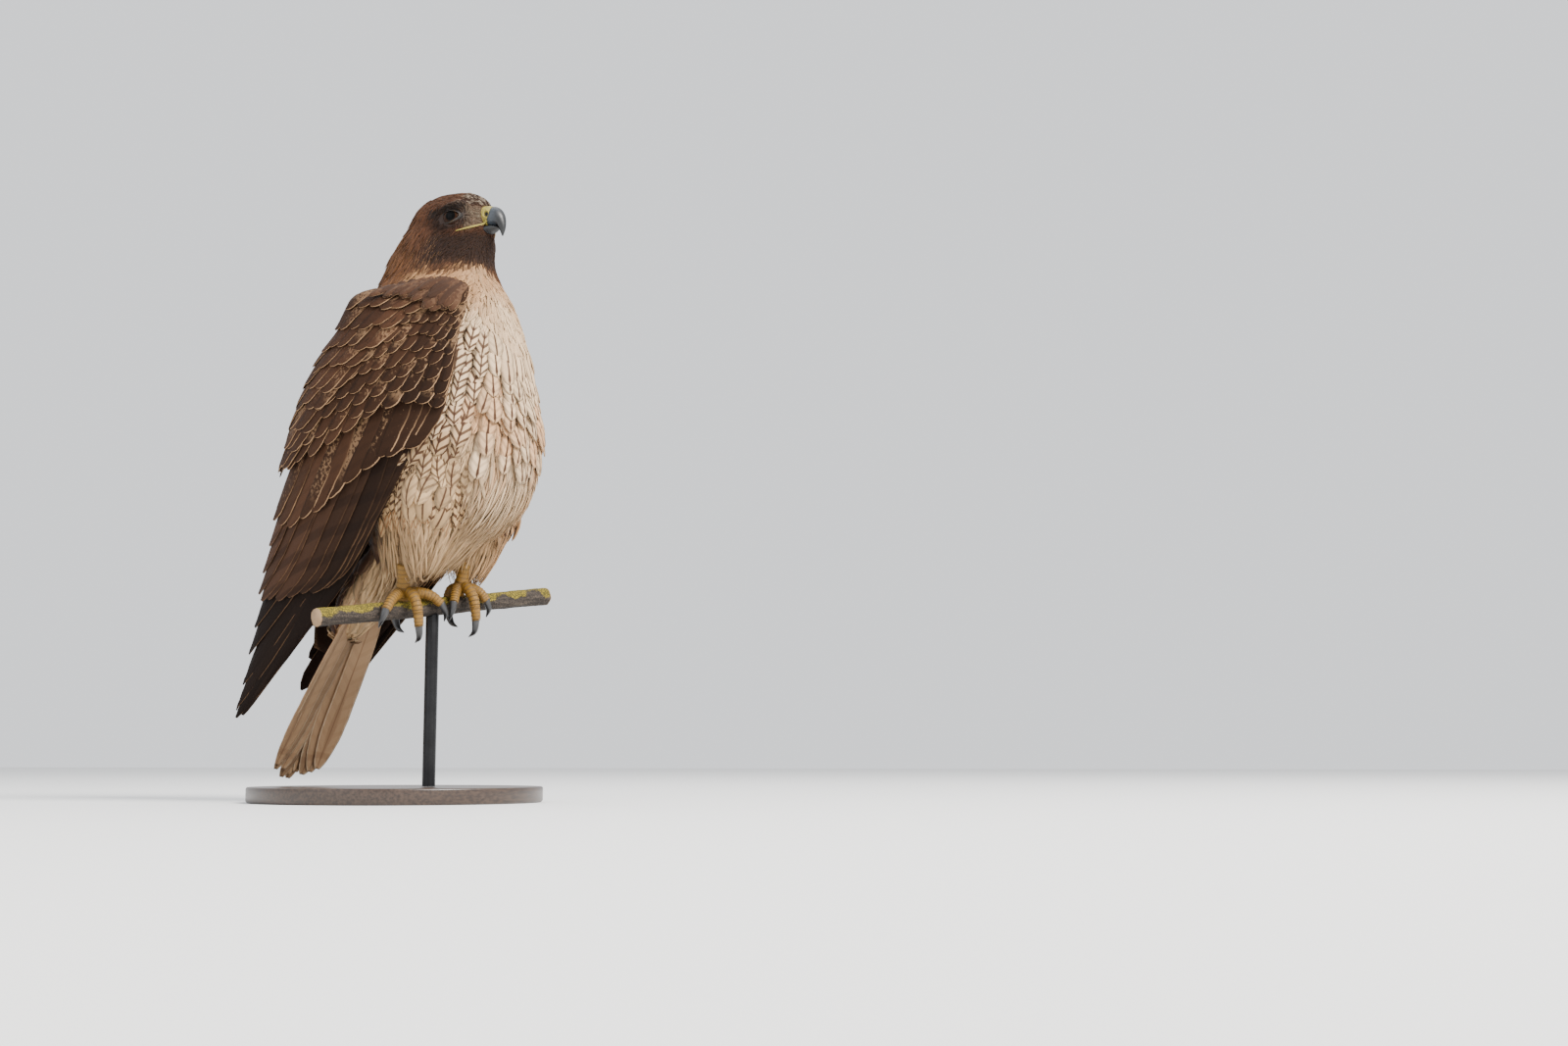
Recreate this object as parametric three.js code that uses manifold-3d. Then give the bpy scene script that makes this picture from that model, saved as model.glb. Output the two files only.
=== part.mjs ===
// A life-size model of a perched red-tailed hawk on a short branch, held by a disc and one rod.
// Millimetres. The bird's left is +X, its back is +Y and up is +Z. The floor is z = 0.
// Most sizes are given as left, forward and up, so a forward distance is minus Y.

import * as THREE from "three";
import { mergeVertices } from "three/addons/utils/BufferGeometryUtils.js";
import Module from "manifold-3d";

const wasm = await Module();
wasm.setup();

const GAP = 0.3; // clear space between touching pieces
const RIGHT = -1;
const LEFT = 1;

// Display stand and branch
const BASE_RADIUS = 112;
const BASE_THICKNESS = 12;
const BASE_BEVEL = 1.5;
const BASE_FORWARD = -28;
const ROD_RADIUS = 5;
const PERCH_RADIUS = 7.6;
const PERCH_HEIGHT = 150;
const PERCH_YAW = THREE.MathUtils.degToRad(24.6);
const PERCH_RISE = THREE.MathUtils.degToRad(7.7);
const PERCH_FROM = -104;
const PERCH_TO = 112;

// Side of the bird: the long axis of the folded wing runs from the wrist down and back
const WRIST = { forward: 56, up: 372 };
const WING_SLOPE = THREE.MathUtils.degToRad(35.3);
const WING_LENGTH = 381;
// distance down the wing, half width of the bird there
const FLANK_WIDTH = [
  [-30, 40], [0, 54], [25, 63], [60, 72], [110, 76], [157, 70], [200, 58], [240, 45], [300, 33], [390, 17],
];
// distance down the wing, where across it the bird is widest, and how far the side curves round each way
const FLANK_MIDDLE = [[0, -18], [110, -12], [200, -8], [300, -4], [390, 0]];
const FLANK_FORWARD = [
  [-30, 62], [0, 78], [25, 96], [60, 106], [110, 110], [157, 106], [200, 97], [240, 85], [300, 68], [390, 50],
];
const FLANK_BACKWARD = [
  [-30, 30], [0, 52], [20, 76], [44, 108], [76, 99], [108, 98],
  [137, 95], [175, 86.5], [230, 71], [290, 50], [352, 27], [390, 22],
];
// how far inside the outside of the wing the torso's surface runs
const TORSO_UNDER_WING = 5;
// distance down the wing, edge towards the breast and edge along the back
const WING_FRONT = [
  [0, 0], [25, 10], [53, 28], [82, 41], [133, 40], [174, 40], [218, 33], [260, 22], [330, 8], [381, 0],
];
const WING_BACK = [
  [0, -34], [20, -66], [44, -92], [76, -106], [108, -108], [137, -104],
  [175, -94], [230, -76], [290, -48], [352, -14], [381, -2],
];
const WING_THICKNESS = 11;
const LEFT_WING_DROOP = THREE.MathUtils.degToRad(8);
const LEFT_WING_BACK = 9; // how far back the far wing's wrist lies

// The arm of the wing that carries the feathers ends here, and its outside lies this deep
const ARM_LENGTH = 190;
const ARM_DEPTH = [0.2, 5];
const ARM_RIM = 5; // depth of its underside at its edges
const ARM_INSET = 1.5; // how far the edges of the arm lie inside the outline of the wing
// Feathers of the wing from the breast edge to the back: places down and across the wing of the
// roots and the tips, half width, thickness at root and tip, and height over the wing's outside
const WING_TIERS = [
  {
    count: 6, rows: 3, half: 9.5, thick: [1.4, 0.8], lift: [-8.5, -7, -3.6],
    roots: [[104, 27], [92, 6]],
    tips: [[316, 18], [353, 9], [376, 2], [372, -8], [346, -18], [306, -32]],
  },
  {
    count: 7, rows: 3, half: 13.5, thick: [1.4, 0.8], lift: [-7, -5.6, -1.4],
    roots: [[100, 26], [104, 0], [110, -34], [112, -72]],
    tips: [[236, 22], [252, 9], [264, -5], [276, -19], [286, -33], [284, -45], [254, -55], [218, -68]],
  },
  {
    count: 7, rows: 2, half: 12, thick: [1.3, 0.8], lift: [-4.6, -2.2, 0.2],
    roots: [[56, 24], [70, 4], [98, -14], [136, -32], [166, -58]],
    tips: [[112, 31], [126, 18], [153, 3], [190, -15], [222, -34], [226, -60]],
  },
  {
    count: 6, rows: 2, half: 12, thick: [1.3, 0.8], lift: [-3.2, -0.6, 1.5],
    roots: [[30, 14], [44, -8], [74, -28], [110, -50], [146, -72]],
    tips: [[76, 29], [88, 9], [116, -10], [152, -30], [186, -54], [194, -74]],
  },
  {
    count: 4, rows: 2, half: 13, thick: [1.3, 0.8], lift: [-3, -0.2, 2.2],
    roots: [[14, -44], [42, -70], [82, -86], [124, -92], [164, -82]],
    tips: [[62, -56], [92, -80], [134, -92], [176, -84], [212, -70]],
  },
];
const TIP_JITTER = 1.5; // how far the tips of feathers wander from their rows
const RACHIS_RISE = 0.35; // how far the middle of a feather stands over its edges
const STEEPEST_TILT = 0.3;
const BETWEEN_VANES = 0.6; // clear space between neighbours in a tier
// share of its length down a feather, share of its half width there
const VANE_OUTLINE = [[0, 0.5], [0.35, 1], [0.8, 0.97], [1, 0.62]];
const TIP_ROUNDING = 0.6; // share of the half width at the tip by which its corners fall short

// Neck and torso: front point, back point (forward, up) and half width of each ring, from the head down
const BODY_RINGS = [
  { front: [40, 455], back: [-20, 458], half: 23 },
  { front: [49, 438], back: [-32, 443], half: 29 },
  { front: [48, 420], back: [-41, 427], half: 34 },
  { front: [53, 404], back: [-47, 411], half: 39 },
  { front: [63, 384], back: [-53, 396], half: 47 },
  { front: [71, 358], back: [-68, 378], half: 57 },
  { front: [77, 325], back: [-85, 356], half: 65 },
  { front: [82, 290], back: [-88, 334], half: 70 },
  { front: [82, 260], back: [-88, 300], half: 69 },
  { front: [74, 234], back: [-82, 265], half: 64 },
  { front: [54, 212], back: [-70, 235], half: 54 },
  { front: [22, 193], back: [-60, 214], half: 40 },
  { front: [-14, 176], back: [-54, 200], half: 27 },
];
const BODY_SQUARENESS = 2.3;
const BODY_SIDES = 20;
const TORSO_STEPS = 13;
const NECK_STEPS = 4;
const NECK_END = 3; // index of the ring where the neck meets the torso

// Head, in its own frame: left, forward, up from the middle of the braincase
const HEAD_AT = { left: 0, forward: 15.6, up: 452 };
const HEAD_YAW = THREE.MathUtils.degToRad(10);
const HEAD_PITCH = THREE.MathUtils.degToRad(4);
const HEAD_SQUARENESS = 2.2;
// forward, half width, top and bottom of each section of the head
const HEAD_SECTIONS = [
  { forward: -38, half: 10, top: 2, bottom: -16 },
  { forward: -34, half: 16, top: 10, bottom: -24 },
  { forward: -26, half: 21.5, top: 17.5, bottom: -29 },
  { forward: -15, half: 25, top: 23, bottom: -31 },
  { forward: -3, half: 26.2, top: 25, bottom: -31 },
  { forward: 7, half: 25.6, top: 24.2, bottom: -30 },
  { forward: 15, half: 23.2, top: 23, bottom: -28 },
  { forward: 21.5, half: 18.4, top: 20.4, bottom: -25.5 },
  { forward: 26.5, half: 12.8, top: 16.4, bottom: -22.5 },
  { forward: 30.5, half: 9, top: 12.2, bottom: -19 },
];
const EYE = { left: 16.9, forward: 9.5, up: -1, radius: 9 };
const LID_THICKNESS = 1.1;
const EYE_OPENING = { outwards: 9.5, forward: 3.6, radii: [9.5, 7.9, 5] };
const BROW = { forward: 9, up: 6.6, sunk: 3.4, radii: [5.2, 14, 3.6] };
const CERE = { from: 24, to: 35, half: 7.9, top: 8.2, bottom: -7.6 };
const NOSTRIL = { left: 7.8, forward: 31.6, up: 1.4, radii: [1.6, 1.9, 1.4] };
// corner of the mouth and where its line reaches the bill
const GAPE_BACK = { forward: 9.5, up: -13.6 };
const GAPE_FRONT = { forward: 33, up: -4.8, left: 6.4 };
const GAPE_LIP = 1.5;
// ridge of the bill, its cutting edge (forward, up) and half width, from the cere to the tip of the hook
const BILL_SECTIONS = [
  { ridge: [35.3, 7.2], edge: [35.3, -7.8], half: 7.4 },
  { ridge: [39, 6.4], edge: [37.4, -8.2], half: 7 },
  { ridge: [42.2, 3.8], edge: [39, -8.8], half: 6.2 },
  { ridge: [44.6, -0.6], edge: [40, -9.6], half: 5 },
  { ridge: [45.6, -6], edge: [40.6, -11.2], half: 3.7 },
  { ridge: [45.4, -11.6], edge: [41.2, -13.6], half: 2.3 },
  { ridge: [43.4, -17.6], edge: [42.4, -17.6], half: 0.5 },
];

// Legs: middle of the ball of each foot along the perch, and the joints above it (forward, up)
const FOOT_ALONG = { [RIGHT]: -26, [LEFT]: 26 };
const FOOT_SPREAD = { [RIGHT]: 1, [LEFT]: 0.62 }; // how far the toes of each foot spread along the branch
const FOOT_STAGGER = 6; // how far the left foot stands before the middle and the right one behind it
const TARSUS_RADIUS = 5.2;
const TARSUS_TOP_UP = 34;
const THIGH = [
  { left: 34, forward: 22, up: 262, radius: 20 },
  { left: 37, forward: 22, up: 236, radius: 30 },
  { left: 33, forward: 16, up: 209, radius: 25 },
  { left: 27, forward: 5, up: 184, radius: 13 },
];
const KNEE_UP = 186; // height where the stagger of the feet is full
const TOE_RADIUS = 4.3;
const TOE_PLATES = 4;
const PLATE_RISE = 0.45; // step from one plate on top of a toe to the next
const PLATE_STEP = 0.06; // share of a plate that the step takes
// Middle line of each toe and its claw from the axis of the branch: outwards, forward and up
const TOES = {
  hind: {
    toe: [[0, 1, 13], [0, -10, 11.5], [-1, -15.5, 2], [-1, -15.5, -7]],
    claw: [[-1, -12, -14], [-1, -5, -17.5]],
  },
  inner: {
    toe: [[0, -1, 13], [-9, 5, 12.2], [-18, 10.5, 8.8], [-25, 13, 2]],
    claw: [[-28.5, 12.5, -5.6], [-29.5, 8.5, -12]],
  },
  middle: {
    toe: [[0, 0, 13], [0.5, 11, 11.8], [1, 17.5, 3], [1, 18, -14]],
    claw: [[0, 15.5, -22], [-1, 8.5, -26]],
  },
  outer: {
    toe: [[0, 0, 13], [9, 5.5, 12.2], [19, 10.8, 8], [26, 13, 1]],
    claw: [[29.5, 12, -6], [30, 7.5, -12]],
  },
};
const CLAW_RADII = [3.2, 2.3, 0.45];

// Tail: root, slant from the vertical, twist and size of the fan
const TAIL_ROOT = { forward: -44, up: 190 };
const TAIL_TIP = { forward: -126, up: 21 };
const TAIL_TWIST = THREE.MathUtils.degToRad(18);
const TAIL_HALF_ROOT = 15;
const TAIL_HALF_TIP = 32;
const TAIL_ARCH = 0.006;
const TAIL_BULGE = 3.5; // how far its sides bow outwards halfway down
const TAIL_FEATHERS = 4; // on each side
const TAIL_FEATHER_HALF = 9;
const TAIL_FEATHER_THICK = [0.9, 0.7];
const TAIL_ROUNDING = 15; // how much shorter the outermost feathers are
const TAIL_THICKNESS = [9, 6]; // of the whole fan, at its root and its end
const TAIL_CORE = { length: 42, half: 14, over: 3.4, under: -3.6 };
// Coverts round the root of the tail: rings as for the torso
const COVERT_RINGS = [
  { front: [-15.2, 175.6], back: [-54.6, 199.2], half: 26.5 },
  { front: [-28, 162], back: [-66, 186], half: 25 },
  { front: [-44, 147], back: [-78, 166], half: 23 },
  { front: [-58, 134], back: [-86, 148], half: 19 },
  { front: [-67, 127], back: [-90, 137], half: 13 },
];

/** A point given by its distances to the bird's left, forward and up. */
function place(left, forward, up) {
  return new THREE.Vector3(left, -forward, up);
}

/** The value at x of a smooth curve through a table of [x, value] rows, held past its ends. */
function along(table, x) {
  const last = table.length - 1;
  if (x <= table[0][0]) return table[0][1];
  if (x >= table[last][0]) return table[last][1];
  let i = 0;
  while (x > table[i + 1][0]) i += 1;
  const slope = (a, b) => (table[b][1] - table[a][1]) / (table[b][0] - table[a][0]);
  const here = slope(i, i + 1);
  const before = i > 0 ? (slope(i - 1, i) + here) / 2 : here;
  const after = i + 2 <= last ? (slope(i + 1, i + 2) + here) / 2 : here;
  const span = table[i + 1][0] - table[i][0];
  const t = (x - table[i][0]) / span;
  const rise = t * t * (3 - 2 * t);
  return (
    table[i][1] * (1 - rise) + table[i + 1][1] * rise +
    span * (before * t * (1 - t) * (1 - t) - after * t * t * (1 - t))
  );
}

/** A closed solid of any watertight geometry. */
function solid(geometry) {
  const bare = geometry.index ? geometry.toNonIndexed() : geometry.clone();
  bare.deleteAttribute("normal");
  bare.deleteAttribute("uv");
  const merged = mergeVertices(bare, 1e-4);
  const made = new wasm.Manifold(
    new wasm.Mesh({
      numProp: 3,
      vertProperties: merged.attributes.position.array,
      triVerts: new Uint32Array(merged.index.array),
    }),
  );
  if (made.volume() >= 0) return made;
  const turned = merged.index.array.slice();
  for (let i = 0; i < turned.length; i += 3) {
    [turned[i + 1], turned[i + 2]] = [turned[i + 2], turned[i + 1]];
  }
  return new wasm.Manifold(
    new wasm.Mesh({
      numProp: 3,
      vertProperties: merged.attributes.position.array,
      triVerts: new Uint32Array(turned),
    }),
  );
}

/** The largest closed surface of a solid. */
function largest(body) {
  const pieces = body.decompose();
  return pieces.reduce((a, b) => (b.volume() > a.volume() ? b : a));
}

/** All the solids of a list joined into one. */
function fuse(bodies) {
  return wasm.Manifold.union(bodies);
}

/** A geometry from points and triangles. */
function shape(points, triangles) {
  const flat = points.flatMap((p) => [p.x, p.y, p.z]);
  const geometry = new THREE.BufferGeometry();
  geometry.setAttribute("position", new THREE.Float32BufferAttribute(flat, 3));
  geometry.setIndex(triangles);
  return geometry;
}

/** A solid through closed rings of equally many points, with a fan over each end. */
function loft(rings) {
  const count = rings[0].length;
  const points = rings.flat();
  const triangles = [];
  for (let r = 0; r + 1 < rings.length; r += 1) {
    for (let k = 0; k < count; k += 1) {
      const a = r * count + k;
      const b = r * count + ((k + 1) % count);
      triangles.push(a, b, b + count, a, b + count, a + count);
    }
  }
  const cap = (ring, start, flip) => {
    const middle = ring.reduce((sum, p) => sum.add(p), new THREE.Vector3()).divideScalar(count);
    const at = points.push(middle) - 1;
    for (let k = 0; k < count; k += 1) {
      const pair = [start + k, start + ((k + 1) % count)];
      triangles.push(at, ...(flip ? pair.reverse() : pair));
    }
  };
  cap(rings[0], 0, true);
  cap(rings[rings.length - 1], (rings.length - 1) * count, false);
  return solid(shape(points, triangles));
}

/** Angles of equally spaced points round a ring. */
function turns(count) {
  return Array.from({ length: count }, (_, k) => (k / count) * 2 * Math.PI);
}

/** A power that keeps its sign, for rings between an ellipse and a rounded square. */
function bulge(value, squareness) {
  return Math.sign(value) * Math.abs(value) ** (2 / squareness);
}

/** A round tube of changing radius along a smooth path through points. */
function limb(points, radii, steps, sides) {
  const path = new THREE.CatmullRomCurve3(points, false, "centripetal");
  const table = radii.map((radius, i) => [i / (radii.length - 1), radius]);
  const frames = path.computeFrenetFrames(steps, false);
  const rings = frames.tangents.map((_, i) => {
    const t = i / steps;
    const radius = along(table, t);
    const middle = path.getPointAt(t);
    return turns(sides).map((a) =>
      middle
        .clone()
        .addScaledVector(frames.normals[i], radius * Math.cos(a))
        .addScaledVector(frames.binormals[i], radius * Math.sin(a)),
    );
  });
  return loft(rings);
}

/** Half width of the bird at a place down and across the folded wing. */
function flankHalf(down, across) {
  const offset = across - along(FLANK_MIDDLE, down);
  const reach = along(offset > 0 ? FLANK_FORWARD : FLANK_BACKWARD, down);
  const part = Math.min(Math.abs(offset) / reach, 0.985);
  return along(FLANK_WIDTH, down) * Math.sqrt(1 - part * part);
}

/** A point of the outer surface of the folded wing: down and across the wing, and out from it. */
function wingPoint(side, down, across, lift) {
  const on = (d, a) => {
    const half = flankHalf(d, a);
    const droop = side === LEFT ? LEFT_WING_DROOP * THREE.MathUtils.smoothstep(d, 40, 260) : 0;
    const downTurned = d * Math.cos(droop) - a * Math.sin(droop);
    const acrossTurned = a * Math.cos(droop) + d * Math.sin(droop);
    const wrist = WRIST.forward - (side === LEFT ? LEFT_WING_BACK : 0);
    return place(
      side * half,
      wrist - downTurned * Math.sin(WING_SLOPE) + acrossTurned * Math.cos(WING_SLOPE),
      WRIST.up - downTurned * Math.cos(WING_SLOPE) - acrossTurned * Math.sin(WING_SLOPE),
    );
  };
  const step = 0.5;
  const downwards = on(down + step, across).sub(on(down - step, across));
  const frontwards = on(down, across + step).sub(on(down, across - step));
  const out = downwards.cross(frontwards).normalize();
  if (out.x * side < 0) out.negate();
  return on(down, across).addScaledVector(out, lift);
}

/** A slab over a surface: a grid of places, each with an upper and a lower lift. */
function slab(grid, surface) {
  const rows = grid.length;
  const columns = grid[0].length;
  const points = [];
  for (const level of ["over", "under"]) {
    for (const row of grid) {
      for (const spot of row) points.push(surface(spot.down, spot.across, spot[level]));
    }
  }
  const under = rows * columns;
  const triangles = [];
  const quad = (a, b, c, d) => triangles.push(a, b, c, a, c, d);
  for (let r = 0; r + 1 < rows; r += 1) {
    for (let c = 0; c + 1 < columns; c += 1) {
      const a = r * columns + c;
      const [b, d, e] = [a + 1, a + columns, a + columns + 1];
      quad(a, b, e, d);
      triangles.push(a + under, e + under, b + under, a + under, d + under, e + under);
    }
  }
  const rim = [];
  for (let c = 0; c < columns; c += 1) rim.push(c);
  for (let r = 1; r < rows; r += 1) rim.push(r * columns + columns - 1);
  for (let c = columns - 2; c >= 0; c -= 1) rim.push((rows - 1) * columns + c);
  for (let r = rows - 2; r > 0; r -= 1) rim.push(r * columns);
  rim.forEach((a, i) => {
    const b = rim[(i + 1) % rim.length];
    quad(b, a, a + under, b + under);
  });
  return solid(shape(points, triangles));
}

/** Repeatable numbers between -1 and 1. */
function wander(seed) {
  const wave = Math.sin(seed * 12.9898 + 4.1) * 43758.5453;
  return 2 * (wave - Math.floor(wave)) - 1;
}

/** The place a share of the way along a list of places, smoothed. */
function spot(places, share) {
  const read = (axis) => along(places.map((place, i) => [i / (places.length - 1), place[axis]]), share);
  return [read(0), read(1)];
}

/** One feather: a thin slab on a surface from its root to its tip, tilted sideways over its neighbour. */
function vane(surface, root, tip, size) {
  const long = Math.hypot(tip[0] - root[0], tip[1] - root[1]);
  const ahead = [(tip[0] - root[0]) / long, (tip[1] - root[1]) / long];
  const grid = [];
  for (let r = 0; r <= size.rows; r += 1) {
    const share = r / size.rows;
    const half = size.half * along(VANE_OUTLINE, share);
    const thick = THREE.MathUtils.lerp(...size.thick, share);
    const lift = along(size.lift.map((height, i) => [i / (size.lift.length - 1), height]), share);
    const tilt = THREE.MathUtils.lerp(...size.tilt, share);
    grid.push(
      [-1, 0, 1].map((c) => {
        const reach = long * share - (r === size.rows && c !== 0 ? half * TIP_ROUNDING : 0);
        const over = lift + tilt * half * c + (c === 0 ? RACHIS_RISE : 0);
        return {
          down: root[0] + ahead[0] * reach - ahead[1] * half * c,
          across: root[1] + ahead[1] * reach + ahead[0] * half * c,
          over,
          under: over - thick,
        };
      }),
    );
  }
  return slab(grid, surface);
}

/** Sideways tilt that lifts a feather of a thickness clear over a neighbour at a distance. */
function tiltOver(thick, spacing) {
  return Math.min(STEEPEST_TILT, (thick + BETWEEN_VANES) / Math.max(spacing, 1));
}

/** A tier of feathers on a surface, each lying over the one before it. */
function tier(surface, spec, seed) {
  const step = 1 / (spec.count - 1);
  const feathers = [];
  for (let i = 0; i < spec.count; i += 1) {
    const ends = [spec.roots, spec.tips].map((places) => spot(places, i * step));
    const tilt = [spec.roots, spec.tips].map((places, end) => {
      const beside = spot(places, (i > 0 ? i - 1 : 1) * step);
      return tiltOver(spec.thick[end], Math.abs(beside[1] - ends[end][1]));
    });
    ends[1][0] += TIP_JITTER * wander(seed + i);
    feathers.push(vane(surface, ...ends, { ...spec, tilt }));
  }
  return feathers;
}

/** The arm of a folded wing: a thick slab under the coverts. */
function wingArm(side) {
  const rows = 7;
  const columns = 4;
  const grid = [];
  for (let r = 0; r <= rows; r += 1) {
    const share = r / rows;
    const down = share * ARM_LENGTH;
    const row = [];
    for (let c = 0; c <= columns; c += 1) {
      const t = c / columns;
      const body = Math.sqrt(Math.max(0, 1 - Math.abs(2 * t - 1) ** 4));
      const over = -THREE.MathUtils.lerp(...ARM_DEPTH, share);
      const edges = [along(WING_BACK, down) + ARM_INSET, along(WING_FRONT, down) - ARM_INSET];
      const across = THREE.MathUtils.lerp(...edges, t);
      const deepest = WING_THICKNESS * THREE.MathUtils.lerp(1, 0.75, share);
      const under = -THREE.MathUtils.lerp(ARM_RIM, deepest, body);
      row.push({ down, across, over, under });
    }
    grid.push(row);
  }
  return slab(grid, (d, a, lift) => wingPoint(side, d, a, lift));
}

/** The folded wing with its tiers of feathers, cut clear of what lies round it. */
function featheredWing(side, room) {
  const surface = (d, a, lift) => wingPoint(side, d, a, lift);
  const feathers = WING_TIERS.flatMap((spec, i) => tier(surface, spec, 100 * i + side));
  return largest(fuse([wingArm(side), ...feathers]).subtract(room));
}

/** The outer form of the folded wing from the wrist to its tip, grown all round by a clearance. */
function wing(side, grow) {
  const rows = 12;
  const columns = 6;
  const grid = [];
  for (let r = 0; r <= rows; r += 1) {
    const down = -grow + (r / rows) * (WING_LENGTH + 2 * grow);
    const front = along(WING_FRONT, down) + grow;
    const back = along(WING_BACK, down) - grow;
    const row = [];
    for (let c = 0; c <= columns; c += 1) {
      const t = c / columns;
      const body = Math.sqrt(Math.max(0, 1 - Math.abs(2 * t - 1) ** 4));
      const taper = THREE.MathUtils.lerp(1, 0.25, r / rows);
      const thick = 1.2 + (WING_THICKNESS - 1.2) * body * taper;
      row.push({ down, across: THREE.MathUtils.lerp(back, front, t), over: grow, under: -thick - grow });
    }
    grid.push(row);
  }
  return slab(grid, (d, a, lift) => wingPoint(side, d, a, lift));
}

/** Ring of the body at a place between listed rings, grown by a clearance, inside the room that is given. */
function bodyRing(listed, t, grow, count, room) {
  const table = (pick) => listed.map((ring, i) => [i, pick(ring)]);
  const read = (pick) => along(table(pick), t);
  const front = place(0, read((r) => r.front[0]), read((r) => r.front[1]));
  const back = place(0, read((r) => r.back[0]), read((r) => r.back[1]));
  const half = read((r) => r.half) + grow;
  const middle = front.clone().add(back).divideScalar(2);
  const deep = front.clone().sub(back).divideScalar(2);
  deep.setLength(deep.length() + grow);
  return turns(count).map((a) => {
    const point = middle.clone().addScaledVector(deep, bulge(Math.cos(a), BODY_SQUARENESS));
    const left = half * bulge(Math.sin(a), BODY_SQUARENESS);
    const most = room(-point.y, point.z) + grow;
    return point.add(place(Math.sign(left) * Math.min(Math.abs(left), most), 0, 0));
  });
}

/** Half width that the folded wings leave the torso at a place forward and up, or a large one beside them. */
function underWing(forward, up) {
  const [back, drop] = [WRIST.forward - forward, WRIST.up - up];
  const down = back * Math.sin(WING_SLOPE) + drop * Math.cos(WING_SLOPE);
  const across = drop * Math.sin(WING_SLOPE) - back * Math.cos(WING_SLOPE);
  const reach = [along(WING_BACK, down), along(WING_FRONT, down)];
  const nearest = THREE.MathUtils.clamp(across, ...reach);
  const inFromEdge = Math.min(reach[1] - across, across - reach[0], down);
  const depth = TORSO_UNDER_WING * THREE.MathUtils.smoothstep(inFromEdge, -10, 3);
  return flankHalf(Math.max(down, 0), nearest) - depth + Math.max(0, -inFromEdge) * 2;
}

/** A length of the body between two of its rings, grown by a clearance. */
function bodyLength(from, to, grow, steps) {
  const rings = [];
  for (let i = 0; i <= steps; i += 1) {
    rings.push(bodyRing(BODY_RINGS, from + ((to - from) * i) / steps, grow, BODY_SIDES, underWing));
  }
  return loft(rings);
}

/** The coverts round the root of the tail. */
function tailCoverts() {
  const steps = 5;
  const rings = [];
  for (let i = 0; i <= steps; i += 1) {
    const t = ((COVERT_RINGS.length - 1) * i) / steps;
    rings.push(bodyRing(COVERT_RINGS, t, 0, 16, () => Infinity));
  }
  return loft(rings);
}

/** A point of the head's own frame in the frame of the bird. */
function onHead(left, forward, up) {
  const turned = new THREE.Vector3(left, -forward, up);
  turned.applyAxisAngle(new THREE.Vector3(1, 0, 0), -HEAD_PITCH);
  turned.applyAxisAngle(new THREE.Vector3(0, 0, 1), -HEAD_YAW);
  return turned.add(place(HEAD_AT.left, HEAD_AT.forward, HEAD_AT.up));
}

/** The smooth form of the head, grown by a clearance. */
function skull(grow) {
  const table = (key) => HEAD_SECTIONS.map((section) => [section.forward, section[key]]);
  const first = HEAD_SECTIONS[0].forward;
  const last = HEAD_SECTIONS[HEAD_SECTIONS.length - 1].forward;
  const steps = 11;
  const rings = [];
  for (let i = 0; i <= steps; i += 1) {
    const forward = first + ((last - first) * (1 - Math.cos((i / steps) * Math.PI))) / 2;
    const half = along(table("half"), forward) + grow;
    const top = along(table("top"), forward) + grow;
    const bottom = along(table("bottom"), forward) - grow;
    rings.push(
      turns(18).map((a) =>
        onHead(
          half * bulge(Math.sin(a), HEAD_SQUARENESS),
          forward + Math.sign(i / steps - 0.5) * grow,
          (top + bottom) / 2 + ((top - bottom) / 2) * bulge(Math.cos(a), HEAD_SQUARENESS),
        ),
      ),
    );
  }
  return loft(rings);
}

/** A ball stretched along the axes of the head. */
function headBall(centre, radii, detail) {
  const ball = new THREE.SphereGeometry(1, detail, Math.round(detail * 0.6));
  const spots = ball.attributes.position;
  for (let i = 0; i < spots.count; i += 1) {
    const p = onHead(
      centre[0] + radii[0] * spots.getX(i),
      centre[1] + radii[1] * spots.getY(i),
      centre[2] + radii[2] * spots.getZ(i),
    );
    spots.setXYZ(i, p.x, p.y, p.z);
  }
  return solid(ball);
}

/** Half width of the smooth head at a place forward and up. */
function cheek(forward, up) {
  const table = (key) => HEAD_SECTIONS.map((section) => [section.forward, section[key]]);
  const top = along(table("top"), forward);
  const bottom = along(table("bottom"), forward);
  const part = Math.abs(up - (top + bottom) / 2) / ((top - bottom) / 2);
  return along(table("half"), forward) * (1 - Math.min(part, 1) ** HEAD_SQUARENESS) ** (1 / HEAD_SQUARENESS);
}

/** The lids of one eye: a thin cap over the ball, open in front of it. */
function lids(side) {
  const radius = EYE.radius + LID_THICKNESS;
  const opening = headBall(
    [side * (EYE.left + EYE_OPENING.outwards), EYE.forward + EYE_OPENING.forward, EYE.up],
    EYE_OPENING.radii,
    12,
  );
  return headBall([side * EYE.left, EYE.forward, EYE.up], [radius, radius, radius], 12).subtract(opening);
}

/** The raised lip along the line of the mouth, from its corner to the bill. */
function gapeLip(side, grow) {
  const points = [0, 0.3, 0.6, 1].map((t) => {
    const forward = THREE.MathUtils.lerp(GAPE_BACK.forward, GAPE_FRONT.forward, t);
    const up = THREE.MathUtils.lerp(GAPE_BACK.up, GAPE_FRONT.up, t);
    const out = t < 1 ? Math.max(cheek(forward, up) - 0.7, CERE.half - 0.5) : GAPE_FRONT.left;
    return onHead(side * out, forward, up);
  });
  return limb(points, [0.6, 1, 1.1, 1.5].map((r) => r * GAPE_LIP + grow), 4, 6);
}

/** One eye, grown by a clearance. */
function eye(side, grow) {
  const radius = EYE.radius + grow;
  return headBall([side * EYE.left, EYE.forward, EYE.up], [radius, radius, radius], 12);
}

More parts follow.
